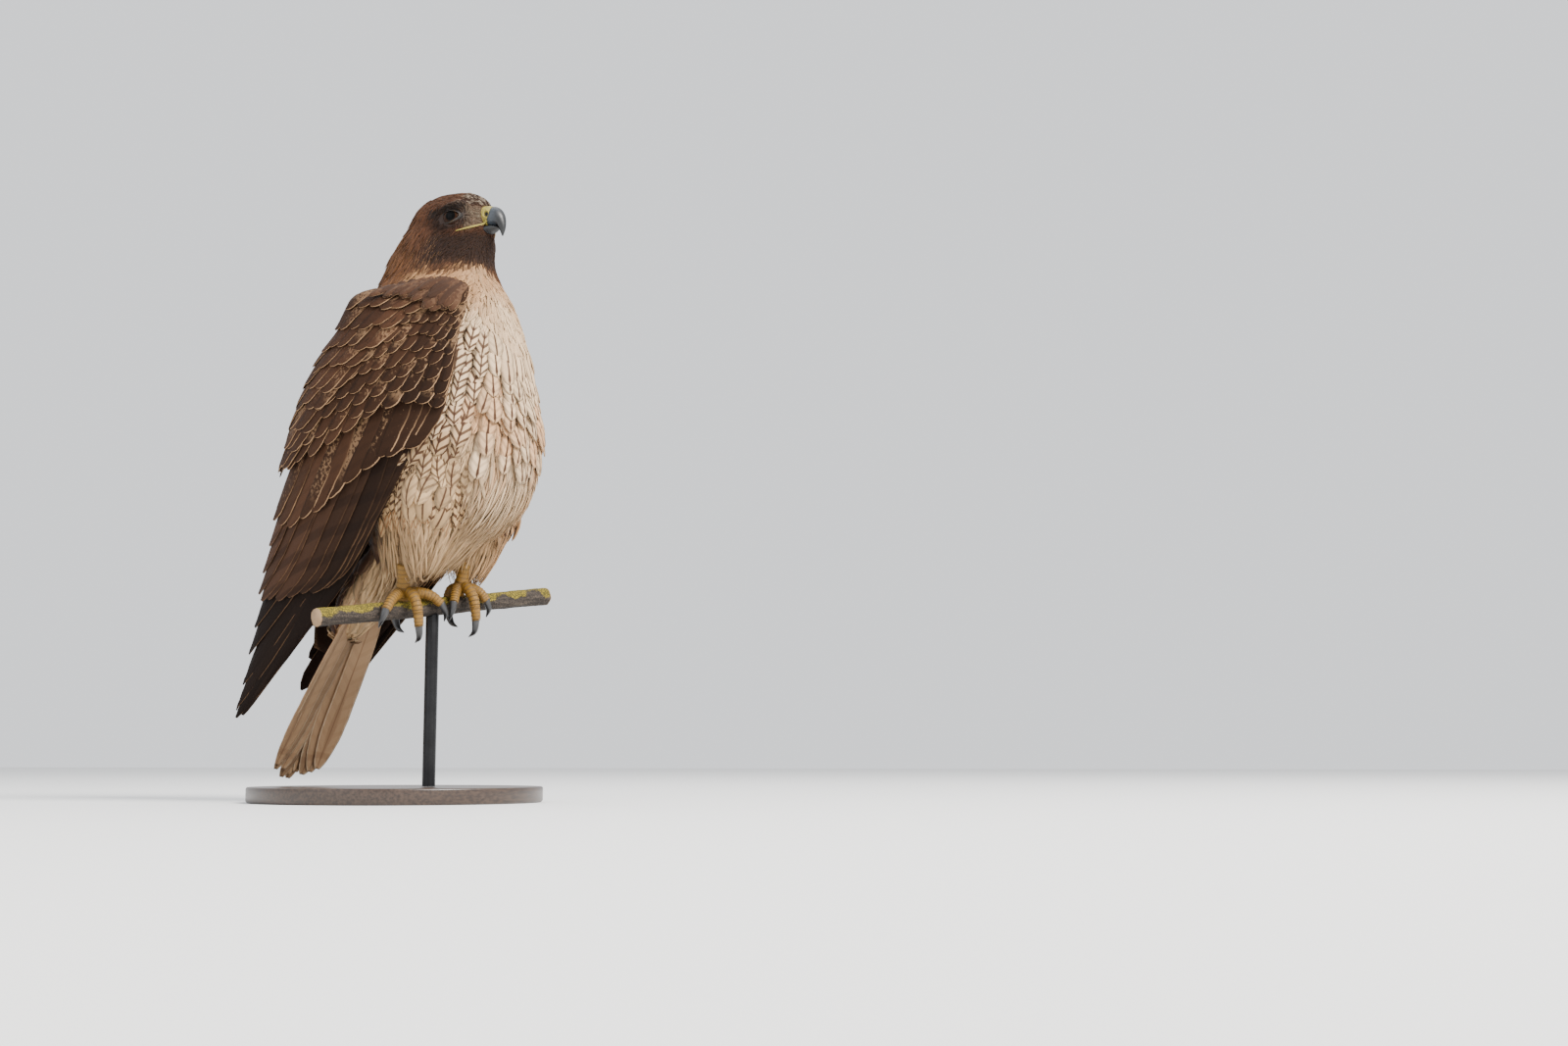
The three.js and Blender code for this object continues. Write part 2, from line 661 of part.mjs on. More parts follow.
/** A length of the bill or cere between sections given as forward, half width, top and bottom. */
function billLength(sections, grow) {
  const rings = sections.map((s) =>
    turns(12).map((a) =>
      onHead(
        (s.half + grow) * bulge(Math.sin(a), 2),
        s.forward + (s.lean || 0) * Math.cos(a),
        (s.top + s.bottom) / 2 + ((s.top - s.bottom) / 2 + grow) * Math.cos(a),
      ),
    ),
  );
  return loft(rings);
}

/** The soft cere with the lips of the gape, grown by a clearance. */
function cere(grow) {
  const collar = billLength(
    [
      { forward: CERE.from - grow, half: CERE.half + 1.3, top: CERE.top + 0.8, bottom: CERE.bottom },
      { forward: (CERE.from + CERE.to) / 2, half: CERE.half + 0.8, top: CERE.top + 0.4, bottom: CERE.bottom },
      { forward: CERE.to - 2, half: CERE.half + 0.2, top: CERE.top, bottom: CERE.bottom },
      { forward: CERE.to + grow, half: CERE.half - 0.9, top: CERE.top - 1, bottom: CERE.bottom },
    ],
    grow,
  );
  return fuse([collar, gapeLip(RIGHT, grow), gapeLip(LEFT, grow)]);
}

/** The hooked upper half of the bill, grown by a clearance. */
function upperBill(grow) {
  const table = (pick) => BILL_SECTIONS.map((section, i) => [i, pick(section)]);
  const steps = 12;
  const rings = [];
  for (let i = 0; i <= steps; i += 1) {
    const t = (i / steps) * (BILL_SECTIONS.length - 1);
    const read = (pick) => along(table(pick), t);
    const ridge = new THREE.Vector2(read((s) => s.ridge[0]), read((s) => s.ridge[1]));
    const edge = new THREE.Vector2(read((s) => s.edge[0]), read((s) => s.edge[1]));
    const middle = ridge.clone().add(edge).divideScalar(2);
    const deep = ridge.clone().sub(edge).divideScalar(2);
    const half = read((s) => s.half) + grow;
    deep.setLength(deep.length() + grow);
    rings.push(
      turns(12).map((a) =>
        onHead(half * Math.sin(a), middle.x + deep.x * Math.cos(a), middle.y + deep.y * Math.cos(a)),
      ),
    );
  }
  return loft(rings);
}

/** The short lower half of the bill. */
function lowerBill(grow) {
  return billLength(
    [
      { forward: 24, half: 7.6, top: -7.4, bottom: -14 },
      { forward: 33, half: 6.6, top: -7.2, bottom: -13.4 },
      { forward: 36.4, half: 5, top: -7.8, bottom: -12.2 },
      { forward: 39.4, half: 2.6, top: -9.2, bottom: -11.2 },
    ],
    grow,
  );
}

/** A place along the branch: distance along it, and forward and up from its axis. */
function onPerch(distance, forward, up) {
  const dir = place(
    Math.cos(PERCH_YAW) * Math.cos(PERCH_RISE),
    Math.sin(PERCH_YAW) * Math.cos(PERCH_RISE),
    Math.sin(PERCH_RISE),
  );
  const front = place(-Math.sin(PERCH_YAW), Math.cos(PERCH_YAW), 0);
  const top = dir.clone().cross(front.clone().negate()).normalize();
  if (top.z < 0) top.negate();
  return place(0, 0, PERCH_HEIGHT)
    .addScaledVector(dir, distance)
    .addScaledVector(front, forward)
    .addScaledVector(top, up);
}

/** The branch, a little bent and knotted, grown by a clearance. */
function perch(grow) {
  const steps = 15;
  const rings = [];
  for (let i = 0; i <= steps; i += 1) {
    const t = i / steps;
    const distance = THREE.MathUtils.lerp(PERCH_FROM, PERCH_TO, t);
    const nearFeet = Math.exp(-((distance / 60) ** 4));
    const wander = (1 - nearFeet) * 2;
    const radius = PERCH_RADIUS + grow + (1 - nearFeet) * 0.8 * Math.sin(distance * 0.11);
    rings.push(
      turns(11).map((a) =>
        onPerch(distance, wander * Math.sin(distance * 0.06) + radius * Math.cos(a), radius * Math.sin(a)),
      ),
    );
  }
  return loft(rings);
}

/** A place above the ball of a foot: outwards along the branch, forward, and up from the branch. */
function onFoot(side, outwards, forward, up) {
  return onPerch(FOOT_ALONG[side] + side * outwards, forward, PERCH_RADIUS + up);
}

/** The scaled part of the leg down to the ball of the foot, grown by a clearance. */
function tarsus(side, grow) {
  const points = [
    onFoot(side, 3, 8, TARSUS_TOP_UP),
    onFoot(side, 1, 2, TARSUS_TOP_UP * 0.45),
    onFoot(side, 0, -1, 11),
    onFoot(side, 0, 0, 4.6),
  ];
  const radii = [1, 0.9, 1.1, 0.85].map((share) => TARSUS_RADIUS * share + grow);
  return limb(points, radii, 7, 10);
}

/** The feathered thigh, from inside the flank down to the tarsus, grown by a clearance. */
function thigh(side, grow) {
  const top = THIGH[0].up;
  const points = THIGH.map((p) => {
    const stagger = side * FOOT_STAGGER * ((top - p.up) / (top - KNEE_UP));
    return place(side * p.left, p.forward + stagger, p.up);
  });
  return limb(points, THIGH.map((p) => p.radius + grow), 8, 14);
}

/** A place by the foot of a side: outwards along the branch, forward and up from its axis. */
function byFoot(side, [outwards, forward, up]) {
  return onPerch(FOOT_ALONG[side] + side * FOOT_SPREAD[side] * outwards, forward, up);
}

/** One toe with broad plates across its top, grown by a clearance. */
function toeBody(side, toe, grow) {
  const path = new THREE.CatmullRomCurve3(toe.toe.map((p) => byFoot(side, p)), false, "centripetal");
  const axis = onPerch(1, 0, 0).sub(onPerch(0, 0, 0));
  const rings = [];
  for (let i = 0; i < TOE_PLATES * 2; i += 1) {
    const start = i % 2 === 0;
    const raised = start ? 0 : PLATE_RISE;
    const t = (start ? i / 2 + PLATE_STEP : (i + 1) / 2 - PLATE_STEP) / TOE_PLATES;
    const middle = path.getPointAt(t);
    const ahead = path.getTangentAt(t);
    const outward = middle.clone().sub(onPerch(middle.clone().sub(onPerch(0, 0, 0)).dot(axis), 0, 0));
    outward.addScaledVector(ahead, -outward.dot(ahead)).normalize();
    const beside = ahead.clone().cross(outward);
    const radius = TOE_RADIUS * THREE.MathUtils.lerp(1.02, 0.8, t ** 2) + grow;
    rings.push(
      turns(7).map((a) => {
        const top = Math.max(0, Math.cos(a)) ** 0.5;
        const reach = radius + raised * top;
        return middle
          .clone()
          .addScaledVector(outward, reach * Math.cos(a))
          .addScaledVector(beside, reach * Math.sin(a));
      }),
    );
  }
  return loft(rings);
}

/** The claw at the end of a toe: a curved cone. */
function clawBody(side, toe) {
  const points = [...toe.toe.slice(-1), ...toe.claw].map((p) => byFoot(side, p));
  return limb(points, CLAW_RADII, 5, 6);
}

/** A point of the tail's upper side: down and across it, and out from it. */
function tailPoint(down, across, lift) {
  const slant = Math.atan2(TAIL_ROOT.forward - TAIL_TIP.forward, TAIL_ROOT.up - TAIL_TIP.up);
  const length = Math.hypot(TAIL_ROOT.forward - TAIL_TIP.forward, TAIL_ROOT.up - TAIL_TIP.up);
  const twist = (TAIL_TWIST * down) / length;
  const out = lift - TAIL_ARCH * across * across;
  const left = across * Math.cos(twist) + out * Math.sin(twist);
  const forward = across * Math.sin(twist) - out * Math.cos(twist);
  return place(
    left,
    TAIL_ROOT.forward - down * Math.sin(slant) + forward * Math.cos(slant),
    TAIL_ROOT.up - down * Math.cos(slant) - forward * Math.sin(slant),
  );
}

/** The tail as one form from the root to its tip, grown by a clearance. */
function tail(grow) {
  const length = Math.hypot(TAIL_ROOT.forward - TAIL_TIP.forward, TAIL_ROOT.up - TAIL_TIP.up);
  const rows = 10;
  const columns = 8;
  const grid = [];
  for (let r = 0; r <= rows; r += 1) {
    const t = r / rows;
    const row = [];
    for (let c = 0; c <= columns; c += 1) {
      const s = (2 * c) / columns - 1;
      const straight = THREE.MathUtils.lerp(TAIL_HALF_ROOT, TAIL_HALF_TIP, t);
      const half = straight + TAIL_BULGE * 4 * t * (1 - t) + grow;
      const down = t * (length - 16 * s * s) + (2 * t - 1) * grow;
      const thick = THREE.MathUtils.lerp(...TAIL_THICKNESS, t);
      row.push({ down, across: s * half, over: thick / 2 + grow, under: -thick / 2 - grow });
    }
    grid.push(row);
  }
  return slab(grid, tailPoint);
}

/** The tail with its feathers, the middle pair on top. */
function featheredTail() {
  const length = Math.hypot(TAIL_ROOT.forward - TAIL_TIP.forward, TAIL_ROOT.up - TAIL_TIP.up);
  const bodies = [];
  const span = { root: TAIL_HALF_ROOT - 5, tip: TAIL_HALF_TIP - TAIL_FEATHER_HALF };
  for (const side of [RIGHT, LEFT]) {
    for (let i = 0; i < TAIL_FEATHERS; i += 1) {
      const out = 1 - i / (TAIL_FEATHERS - 0.5);
      const tilt = [span.root, span.tip].map(
        (width, end) => side * tiltOver(TAIL_FEATHER_THICK[end], width / (TAIL_FEATHERS - 0.5)),
      );
      const tipDown = length - TAIL_ROUNDING * out * out + TIP_JITTER * wander(7 * i + side);
      const size = { rows: 2, half: TAIL_FEATHER_HALF, thick: TAIL_FEATHER_THICK, lift: [0.5, 0.5], tilt };
      bodies.push(vane(tailPoint, [4, side * out * span.root], [tipDown, side * out * span.tip], size));
    }
  }
  const core = [0, 1].map((row) =>
    [-1, 0, 1].map((c) => ({
      down: row * TAIL_CORE.length,
      across: c * TAIL_CORE.half,
      over: TAIL_CORE.over,
      under: TAIL_CORE.under,
    })),
  );
  return fuse([slab(core, tailPoint), ...bodies]);
}

/** The disc that stands on the floor. */
function standBase() {
  const r = BASE_RADIUS;
  const profile = [
    [0, 0], [r - BASE_BEVEL, 0], [r, BASE_BEVEL], [r, BASE_THICKNESS - BASE_BEVEL],
    [r - BASE_BEVEL, BASE_THICKNESS], [0, BASE_THICKNESS],
  ].map(([x, y]) => new THREE.Vector2(x, y));
  const disc = new THREE.LatheGeometry(profile, 36);
  disc.rotateX(Math.PI / 2);
  disc.translate(0, -BASE_FORWARD, 0);
  return solid(disc);
}

/** The upright rod, cut to the underside of the branch. */
function standRod() {
  const height = PERCH_HEIGHT - BASE_THICKNESS - GAP;
  const rod = new THREE.CylinderGeometry(ROD_RADIUS, ROD_RADIUS, height, 24);
  rod.rotateX(Math.PI / 2);
  rod.translate(0, 0, BASE_THICKNESS + GAP + height / 2);
  return largest(solid(rod).subtract(perch(GAP)));
}

const finishes = {
  wood: { color: 0x2e2622, roughness: 0.5, metalness: 0 },
  metal: { color: 0x2b2b2d, roughness: 0.4, metalness: 0.8 },
  bark: { color: 0x6d6650, roughness: 0.95, metalness: 0 },
  breast: { color: 0xd8c4a8, roughness: 0.9, metalness: 0 },
  nape: { color: 0x7a5236, roughness: 0.9, metalness: 0 },
  face: { color: 0x6e4a32, roughness: 0.9, metalness: 0 },
  wing: { color: 0x4a3527, roughness: 0.85, metalness: 0 },
  tail: { color: 0xb0795a, roughness: 0.85, metalness: 0 },
  leg: { color: 0xe3d6bd, roughness: 0.9, metalness: 0 },
  scale: { color: 0xc79a35, roughness: 0.6, metalness: 0 },
  claw: { color: 0x25262a, roughness: 0.3, metalness: 0 },
  bill: { color: 0x50585f, roughness: 0.35, metalness: 0 },
  cere: { color: 0xc9c65a, roughness: 0.5, metalness: 0 },
  eye: { color: 0x2a150c, roughness: 0.05, metalness: 0 },
};

const hawk = new THREE.Group();

/** Adds a solid to the model as a named mesh with its finish. */
function add(name, body, finish) {
  const raw = largest(body).getMesh();
  const geometry = new THREE.BufferGeometry();
  geometry.setAttribute("position", new THREE.BufferAttribute(new Float32Array(raw.vertProperties), 3));
  geometry.setIndex(new THREE.BufferAttribute(raw.triVerts, 1));
  geometry.computeVertexNormals();
  const mesh = new THREE.Mesh(geometry, new THREE.MeshStandardMaterial(finishes[finish]));
  mesh.name = name;
  hawk.add(mesh);
}

const sides = { right: RIGHT, left: LEFT };
const fullWing = { right: wing(RIGHT, GAP), left: wing(LEFT, GAP) };
const bothWings = fullWing.right.add(fullWing.left);
const fullTail = tail(GAP);
const roundHead = skull(GAP);

add("stand_base", standBase(), "wood");
add("stand_rod", standRod(), "metal");
add("perch", perch(0), "bark");

const torsoWhole = bodyLength(NECK_END, BODY_RINGS.length - 1, 0, TORSO_STEPS);
const torsoGrown = bodyLength(NECK_END, BODY_RINGS.length - 1, GAP, TORSO_STEPS);
const bodyRoom = torsoGrown.subtract(wing(RIGHT, 0)).subtract(wing(LEFT, 0));
const thighRoom = thigh(RIGHT, GAP).add(thigh(LEFT, GAP));
const tarsusRoom = tarsus(RIGHT, GAP).add(tarsus(LEFT, GAP));
const roundTorso = fuse([bothWings, fullTail, thighRoom, tarsusRoom]);
add("torso", torsoWhole.subtract(roundTorso), "breast");
const neckWhole = bodyLength(0, NECK_END - 0.03, 0, NECK_STEPS);
const lidRoom = eye(RIGHT, LID_THICKNESS + GAP).add(eye(LEFT, LID_THICKNESS + GAP));
add("neck", neckWhole.subtract(fuse([roundHead, lidRoom, bothWings, cere(GAP)])), "nape");

const brows = [RIGHT, LEFT].map((side) =>
  headBall([side * (cheek(BROW.forward, BROW.up) - BROW.sunk), BROW.forward, BROW.up], BROW.radii, 10),
);
const nostrils = [RIGHT, LEFT].map((side) =>
  headBall([side * NOSTRIL.left, NOSTRIL.forward, NOSTRIL.up], NOSTRIL.radii, 8),
);
const eyeHoles = eye(RIGHT, GAP).add(eye(LEFT, GAP));
const headWhole = fuse([skull(0), ...brows, lids(RIGHT), lids(LEFT)]);
add("head", headWhole.subtract(eyeHoles).subtract(cere(GAP)).subtract(lowerBill(GAP)), "face");
add("cere", cere(0).subtract(fuse(nostrils)), "cere");
add("bill_upper", upperBill(0), "bill");
add("bill_lower", lowerBill(0).subtract(cere(GAP)).subtract(upperBill(GAP)), "bill");

for (const [name, side] of Object.entries(sides)) {
  add(`eye_${name}`, eye(side, 0), "eye");
  const thighRoomOutside = thigh(side, GAP).subtract(wing(side, 0));
  add(`wing_${name}`, featheredWing(side, fuse([bodyRoom, thighRoomOutside, tarsusRoom, fullTail])), "wing");
  add(`thigh_${name}`, thigh(side, 0).subtract(fuse([bothWings, fullTail, tarsus(side, GAP)])), "leg");
  add(`tarsus_${name}`, tarsus(side, 0), "scale");
  let room = tarsus(side, 2 * GAP);
  for (const [toeName, toe] of Object.entries(TOES)) {
    add(`toe_${toeName}_${name}`, toeBody(side, toe, 0).subtract(room), "scale");
    add(`claw_${toeName}_${name}`, clawBody(side, toe).subtract(toeBody(side, toe, GAP)), "claw");
    room = room.add(toeBody(side, toe, 2 * GAP));
  }
}
add("tail_coverts", tailCoverts().subtract(fullTail).subtract(bothWings).subtract(tarsusRoom), "leg");
add("tail", featheredTail(), "tail");

export default hawk;
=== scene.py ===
"""A life-size still model of a perched red-tailed hawk, dressed over its fixed frame of solids."""

import logging
import math
from dataclasses import dataclass, field
from enum import Enum
from typing import Any, Callable, Sequence

import bpy
import numpy as np
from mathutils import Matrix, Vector
from mathutils.bvhtree import BVHTree


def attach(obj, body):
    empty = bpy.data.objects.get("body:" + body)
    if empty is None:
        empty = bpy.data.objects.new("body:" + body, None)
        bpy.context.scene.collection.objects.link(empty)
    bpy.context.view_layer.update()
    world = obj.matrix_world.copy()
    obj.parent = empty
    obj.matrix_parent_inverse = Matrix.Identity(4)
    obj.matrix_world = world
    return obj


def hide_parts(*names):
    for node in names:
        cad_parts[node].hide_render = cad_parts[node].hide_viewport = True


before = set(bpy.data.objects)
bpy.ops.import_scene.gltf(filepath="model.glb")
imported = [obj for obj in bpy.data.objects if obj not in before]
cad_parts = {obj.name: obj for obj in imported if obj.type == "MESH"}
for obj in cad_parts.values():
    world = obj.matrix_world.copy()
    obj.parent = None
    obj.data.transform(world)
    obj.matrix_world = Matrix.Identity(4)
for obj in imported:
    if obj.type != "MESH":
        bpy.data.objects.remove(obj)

Array = np.ndarray
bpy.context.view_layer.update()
MM = 0.001
LOG = logging.getLogger("hawk")
TURN = 2 * math.pi


class Side(Enum):
    """The two sides of the bird, with the sign of its left."""

    RIGHT = -1
    LEFT = 1

    @property
    def word(self) -> str:
        """The side's word in the names of nodes."""
        return self.name.lower()


# Curves, places and grids


def along(knots: Sequence[Sequence[float]], x: Array | float) -> Array:
    """Read a smooth curve: cubic pieces whose slope at a knot is the mean of those beside it.

    Args:
        knots: rows of x and one or more values, by rising x.
        x: where to read it; it is held past its ends.

    Returns:
        The value at each x, with a last axis where a knot has several values.
    """
    table = np.asarray(knots, float)
    xs, ys = table[:, 0], table[:, 1:]
    slopes = np.diff(ys, axis=0) / np.diff(xs)[:, None]
    inner = (slopes[:-1] + slopes[1:]) / 2
    start, end = np.vstack([slopes[:1], inner]), np.vstack([inner, slopes[-1:]])
    x = np.clip(np.asarray(x, float), xs[0], xs[-1])
    i = np.clip(np.searchsorted(xs, x, side="right") - 1, 0, len(xs) - 2)
    span = (xs[i + 1] - xs[i])[..., None]
    t = (x - xs[i])[..., None] / span
    rise = t * t * (3 - 2 * t)
    value = ys[i] * (1 - rise) + ys[i + 1] * rise
    value = value + span * (start[i] * t * (1 - t) ** 2 - end[i] * t * t * (1 - t))
    return value[..., 0] if ys.shape[1] == 1 else value


def ramp(x: Array, low: float, high: float) -> Array:
    """A smooth step from 0 at low to 1 at high, also where high is the smaller."""
    t = np.clip((np.asarray(x, float) - low) / (high - low), 0, 1)
    return t * t * (3 - 2 * t)


def place(left: Array, forward: Array, up: Array) -> Array:
    """Points from their distances to the bird's left, forward and up, in millimetres."""
    left, forward, up = np.broadcast_arrays(left, forward, up)
    return np.stack([left, -forward, up], -1).astype(float)


def unit(v: Array) -> Array:
    """Vectors made one long."""
    return v / np.maximum(np.linalg.norm(v, axis=-1, keepdims=True), 1e-9)


def turns(count: int) -> Array:
    """Angles of evenly spaced points round a ring."""
    return np.arange(count) * TURN / count


def net(rows: Array, columns: Array) -> Sequence[Array]:
    """Two parameters spread over a grid, one value of each per point."""
    return np.meshgrid(rows, columns, indexing="ij")


def bulge(value: Array, squareness: float) -> Array:
    """A power that keeps its sign, for rings between an ellipse and a rounded square."""
    return np.sign(value) * np.abs(value) ** (2 / squareness)


def ripple(points: Array, scale: float, seed: int, waves: int = 5) -> Array:
    """A gentle irregular field, the mean of sine waves in seeded directions.

    Args:
        points: places, in millimetres.
        scale: rough distance between its crests.
        seed: which field.
        waves: how many sines are added.

    Returns:
        Values of about -1 to 1.
    """
    draw = np.random.default_rng(seed)
    ways = unit(draw.normal(size=(waves, points.shape[-1]))) * draw.uniform(0.6, 1.6, (waves, 1))
    phase = draw.uniform(0, TURN, waves)
    return np.sin(points @ ways.T * (TURN / scale) + phase).mean(-1) * 1.6


def smooth_path(points: Array, count: int) -> Array:
    """Evenly spaced points of a centripetal Catmull-Rom curve through the given ones.

    Args:
        points: places that it passes through.
        count: how many points it gets.

    Returns:
        The points.
    """
    p = np.asarray(points, float)
    p = np.vstack([2 * p[0] - p[1], p, 2 * p[-1] - p[-2]])
    k = np.concatenate([[0], np.cumsum(np.sqrt(np.linalg.norm(np.diff(p, axis=0), axis=1)))])
    fine = []
    for i in range(1, len(p) - 2):
        t = np.linspace(k[i], k[i + 1], 40, endpoint=i == len(p) - 3)[:, None]

        def mix(a: Array, b: Array, ka: float, kb: float) -> Array:
            """Between two places by where t lies between their knots."""
            return ((kb - t) * a + (t - ka) * b) / (kb - ka)

        a1 = mix(p[i - 1], p[i], k[i - 1], k[i])
        a2 = mix(p[i], p[i + 1], k[i], k[i + 1])
        a3 = mix(p[i + 1], p[i + 2], k[i + 1], k[i + 2])
        fine.append(mix(mix(a1, a2, k[i - 1], k[i + 1]), mix(a2, a3, k[i], k[i + 2]), k[i], k[i + 1]))
    line = np.vstack(fine)
    run = np.concatenate([[0], np.cumsum(np.linalg.norm(np.diff(line, axis=0), axis=1))])
    want = np.linspace(0, run[-1], count)
    return np.stack([np.interp(want, run, line[:, j]) for j in range(3)], -1)


@dataclass
class Mesh:
    """Points, faces and what each point carries, ready to become one piece."""

    points: Array
    faces: list[Array]
    vane: Array | None = None
    bake: Array | None = None
    tint: Array | None = None
    marks: Array | None = None


def outward(mesh: Mesh) -> Mesh:
    """The mesh with its faces turned to look out, by the sign of its volume.

    Args:
        mesh: a closed mesh.

    Returns:
        The same mesh.
    """
    volume = 0.0
    for faces in mesh.faces:
        for k in range(1, faces.shape[1] - 1):
            a, b, c = (mesh.points[faces[:, i]] for i in (0, k, k + 1))
            volume += float((a * np.cross(b, c)).sum())
    if volume < 0:
        mesh.faces = [f[:, ::-1] for f in mesh.faces]
    return mesh


def together(parts: Sequence[Mesh]) -> Mesh:
    """Several closed meshes joined as one, with what their points carry.

    Args:
        parts: closed meshes.

    Returns:
        One mesh.
    """
    parts = [outward(part) for part in parts]
    start = np.cumsum([0] + [len(p.points) for p in parts])

    def stack(name: str) -> Array | None:
        """One field of all the meshes, where they all have it."""
        values = [getattr(p, name) for p in parts]
        return None if any(v is None for v in values) else np.concatenate(values)

    faces = [f + s for p, s in zip(parts, start) for f in p.faces]
    return Mesh(stack("points"), faces, stack("vane"), stack("bake"), stack("tint"), stack("marks"))


def grid_quads(rows: int, columns: int, closed: bool, start: int = 0) -> Array:
    """Quads of a grid of points, row after row, joined round its rows where closed."""
    r, c = net(np.arange(rows - 1), np.arange(columns - (not closed)))
    a, b = r * columns + c, r * columns + (c + 1) % columns
    return (np.stack([a, b, b + columns, a + columns], -1).reshape(-1, 4)) + start


def tube(rings: Array) -> Mesh:
    """A closed solid through rings of points, with a flat face on each end.

    Args:
        rings: points by ring and place round it.

    Returns:
        The mesh, its vane map being (share round, share along).
    """
    n, m = rings.shape[:2]
    ends = [np.arange(m)[None, ::-1], np.arange(m)[None] + (n - 1) * m]
    along_share, round_share = net(np.linspace(0, 1, n), np.arange(m) / m)
    vane = np.stack([round_share, along_share], -1).reshape(-1, 2)
    return Mesh(rings.reshape(-1, 3), [grid_quads(n, m, True), *ends], vane, vane.copy())


def limb(points: Array, radii: Sequence[float], steps: int, sides: int,
         swell: Callable[[Array, Array], Array] | None = None, top: Array | None = None) -> Mesh:
    """A round tube of changing radius carried along a smooth path.

    Args:
        points: the places that the path goes through.
        radii: radius at evenly spaced shares of the path.
        steps: rings along it.
        sides: points round it.
        swell: extra radius as a function of the share along and the angle from the top.
        top: direction of the top side; any if None.

    Returns:
        The closed tube.
    """
    path = smooth_path(points, steps)
    ahead = unit(np.gradient(path, axis=0))
    guide = np.array([0.3, 0.2, 1.0]) if top is None else np.asarray(top, float)
    guide = np.broadcast_to(guide, path.shape)
    over = unit(guide - ahead * (guide * ahead).sum(-1, keepdims=True))
    beside = np.cross(ahead, over)
    share = np.linspace(0, 1, steps)
    radius = along([(i / (len(radii) - 1), r) for i, r in enumerate(radii)], share)
    a = turns(sides)
    reach = radius[:, None] + (0 if swell is None else swell(share[:, None], a[None]))
    reach = np.broadcast_to(reach, (steps, sides))[..., None]
    out = np.cos(a)[:, None] * over[:, None] + np.sin(a)[:, None] * beside[:, None]
    return tube(path[:, None] + reach * out)


# The forms of the bird, as its solids have them


@dataclass(frozen=True)
class Flank:
    """The side of the bird as a surface: down the folded wing, across it and out from it."""

    wrist: tuple[float, float] = (56, 372)
    slope: float = math.radians(35.3)
    droop: float = math.radians(8)
    left_back: float = 9
    width: tuple = ((-30, 40), (0, 54), (25, 63), (60, 72), (110, 76), (157, 70), (200, 58), (240, 45),
                    (300, 33), (390, 17))
    middle: tuple = ((0, -18), (110, -12), (200, -8), (300, -4), (390, 0))
    ahead: tuple = ((-30, 62), (0, 78), (25, 96), (60, 106), (110, 110), (157, 106), (200, 97), (240, 85),
                    (300, 68), (390, 50))
    behind: tuple = ((-30, 30), (0, 52), (20, 76), (44, 108), (76, 99), (108, 98), (137, 95), (175, 86.5),
                     (230, 71), (290, 50), (352, 27), (390, 22))
    front_edge: tuple = ((0, 0), (25, 10), (53, 28), (82, 41), (133, 40), (174, 40), (218, 33), (260, 22),
                         (330, 8), (381, 0))
    back_edge: tuple = ((0, -34), (20, -66), (44, -92), (76, -106), (108, -108), (137, -104), (175, -94),
                        (230, -76), (290, -48), (352, -14), (381, -2))

    def half(self, down: Array, across: Array) -> Array:
        """Half width of the bird: an ellipse across the wing whose reach differs each way."""
        offset = across - along(self.middle, down)
        reach = np.where(offset > 0, along(self.ahead, down), along(self.behind, down))
        part = np.minimum(np.abs(offset) / reach, 0.985)
        return along(self.width, down) * np.sqrt(1 - part * part)

    def _on(self, side: Side, down: Array, across: Array) -> Array:
        """Points of the surface itself, the left wing hanging a little lower at its tip.

        Args:
            side: which wing.
            down: distance down it.
            across: distance across it.

        Returns:
            The points.
        """
        left = side is Side.LEFT
        droop = self.droop * ramp(down, 40, 260) * left
        d = down * np.cos(droop) - across * np.sin(droop)
        a = across * np.cos(droop) + down * np.sin(droop)
        forward = self.wrist[0] - self.left_back * left - d * math.sin(self.slope) + a * math.cos(self.slope)
        up = self.wrist[1] - d * math.cos(self.slope) - a * math.sin(self.slope)
        return place(side.value * self.half(down, across), forward, up)

    def point(self, side: Side, down: Array, across: Array, lift: Array) -> Array:
        """Points at a height over the surface, along its normal from central differences.

        Args:
            side: which wing.
            down: distance down the wing.
            across: distance across it, forward.
            lift: height over it.

        Returns:
            The points, in millimetres.
        """
        down, across, lift = np.broadcast_arrays(*(np.asarray(v, float) for v in (down, across, lift)))
        step = 1.5
        downwards = self._on(side, down + step, across) - self._on(side, down - step, across)
        frontwards = self._on(side, down, across + step) - self._on(side, down, across - step)
        out = unit(np.cross(downwards, frontwards))
        out = out * np.where(out[..., :1] * side.value < 0, -1, 1)
        return self._on(side, down, across) + out * lift[..., None]

    def spot(self, forward: Array, up: Array) -> tuple[Array, Array]:
        """Place down and across the right wing of points seen from the side."""
        back, drop = self.wrist[0] - forward, self.wrist[1] - up
        down = back * math.sin(self.slope) + drop * math.cos(self.slope)
        return down, drop * math.sin(self.slope) - back * math.cos(self.slope)

    def inside(self, forward: Array, up: Array) -> Array:
        """How far inside the outline of the folded wing places lie, negative beside it."""
        down, across = self.spot(forward, up)
        front, back = along(self.front_edge, down), along(self.back_edge, down)
        return np.minimum.reduce([front - across, across - back, down])

    def room(self, forward: Array, up: Array) -> Array:
        """Half width that the folded wings leave the torso, and a wide one beside them."""
        down, across = self.spot(forward, up)
        near = np.clip(across, along(self.back_edge, down), along(self.front_edge, down))
        edge = self.inside(forward, up)
        return self.half(np.maximum(down, 0), near) - 5 * ramp(edge, -10, 3) + np.maximum(0, -edge) * 2


FLANK = Flank()


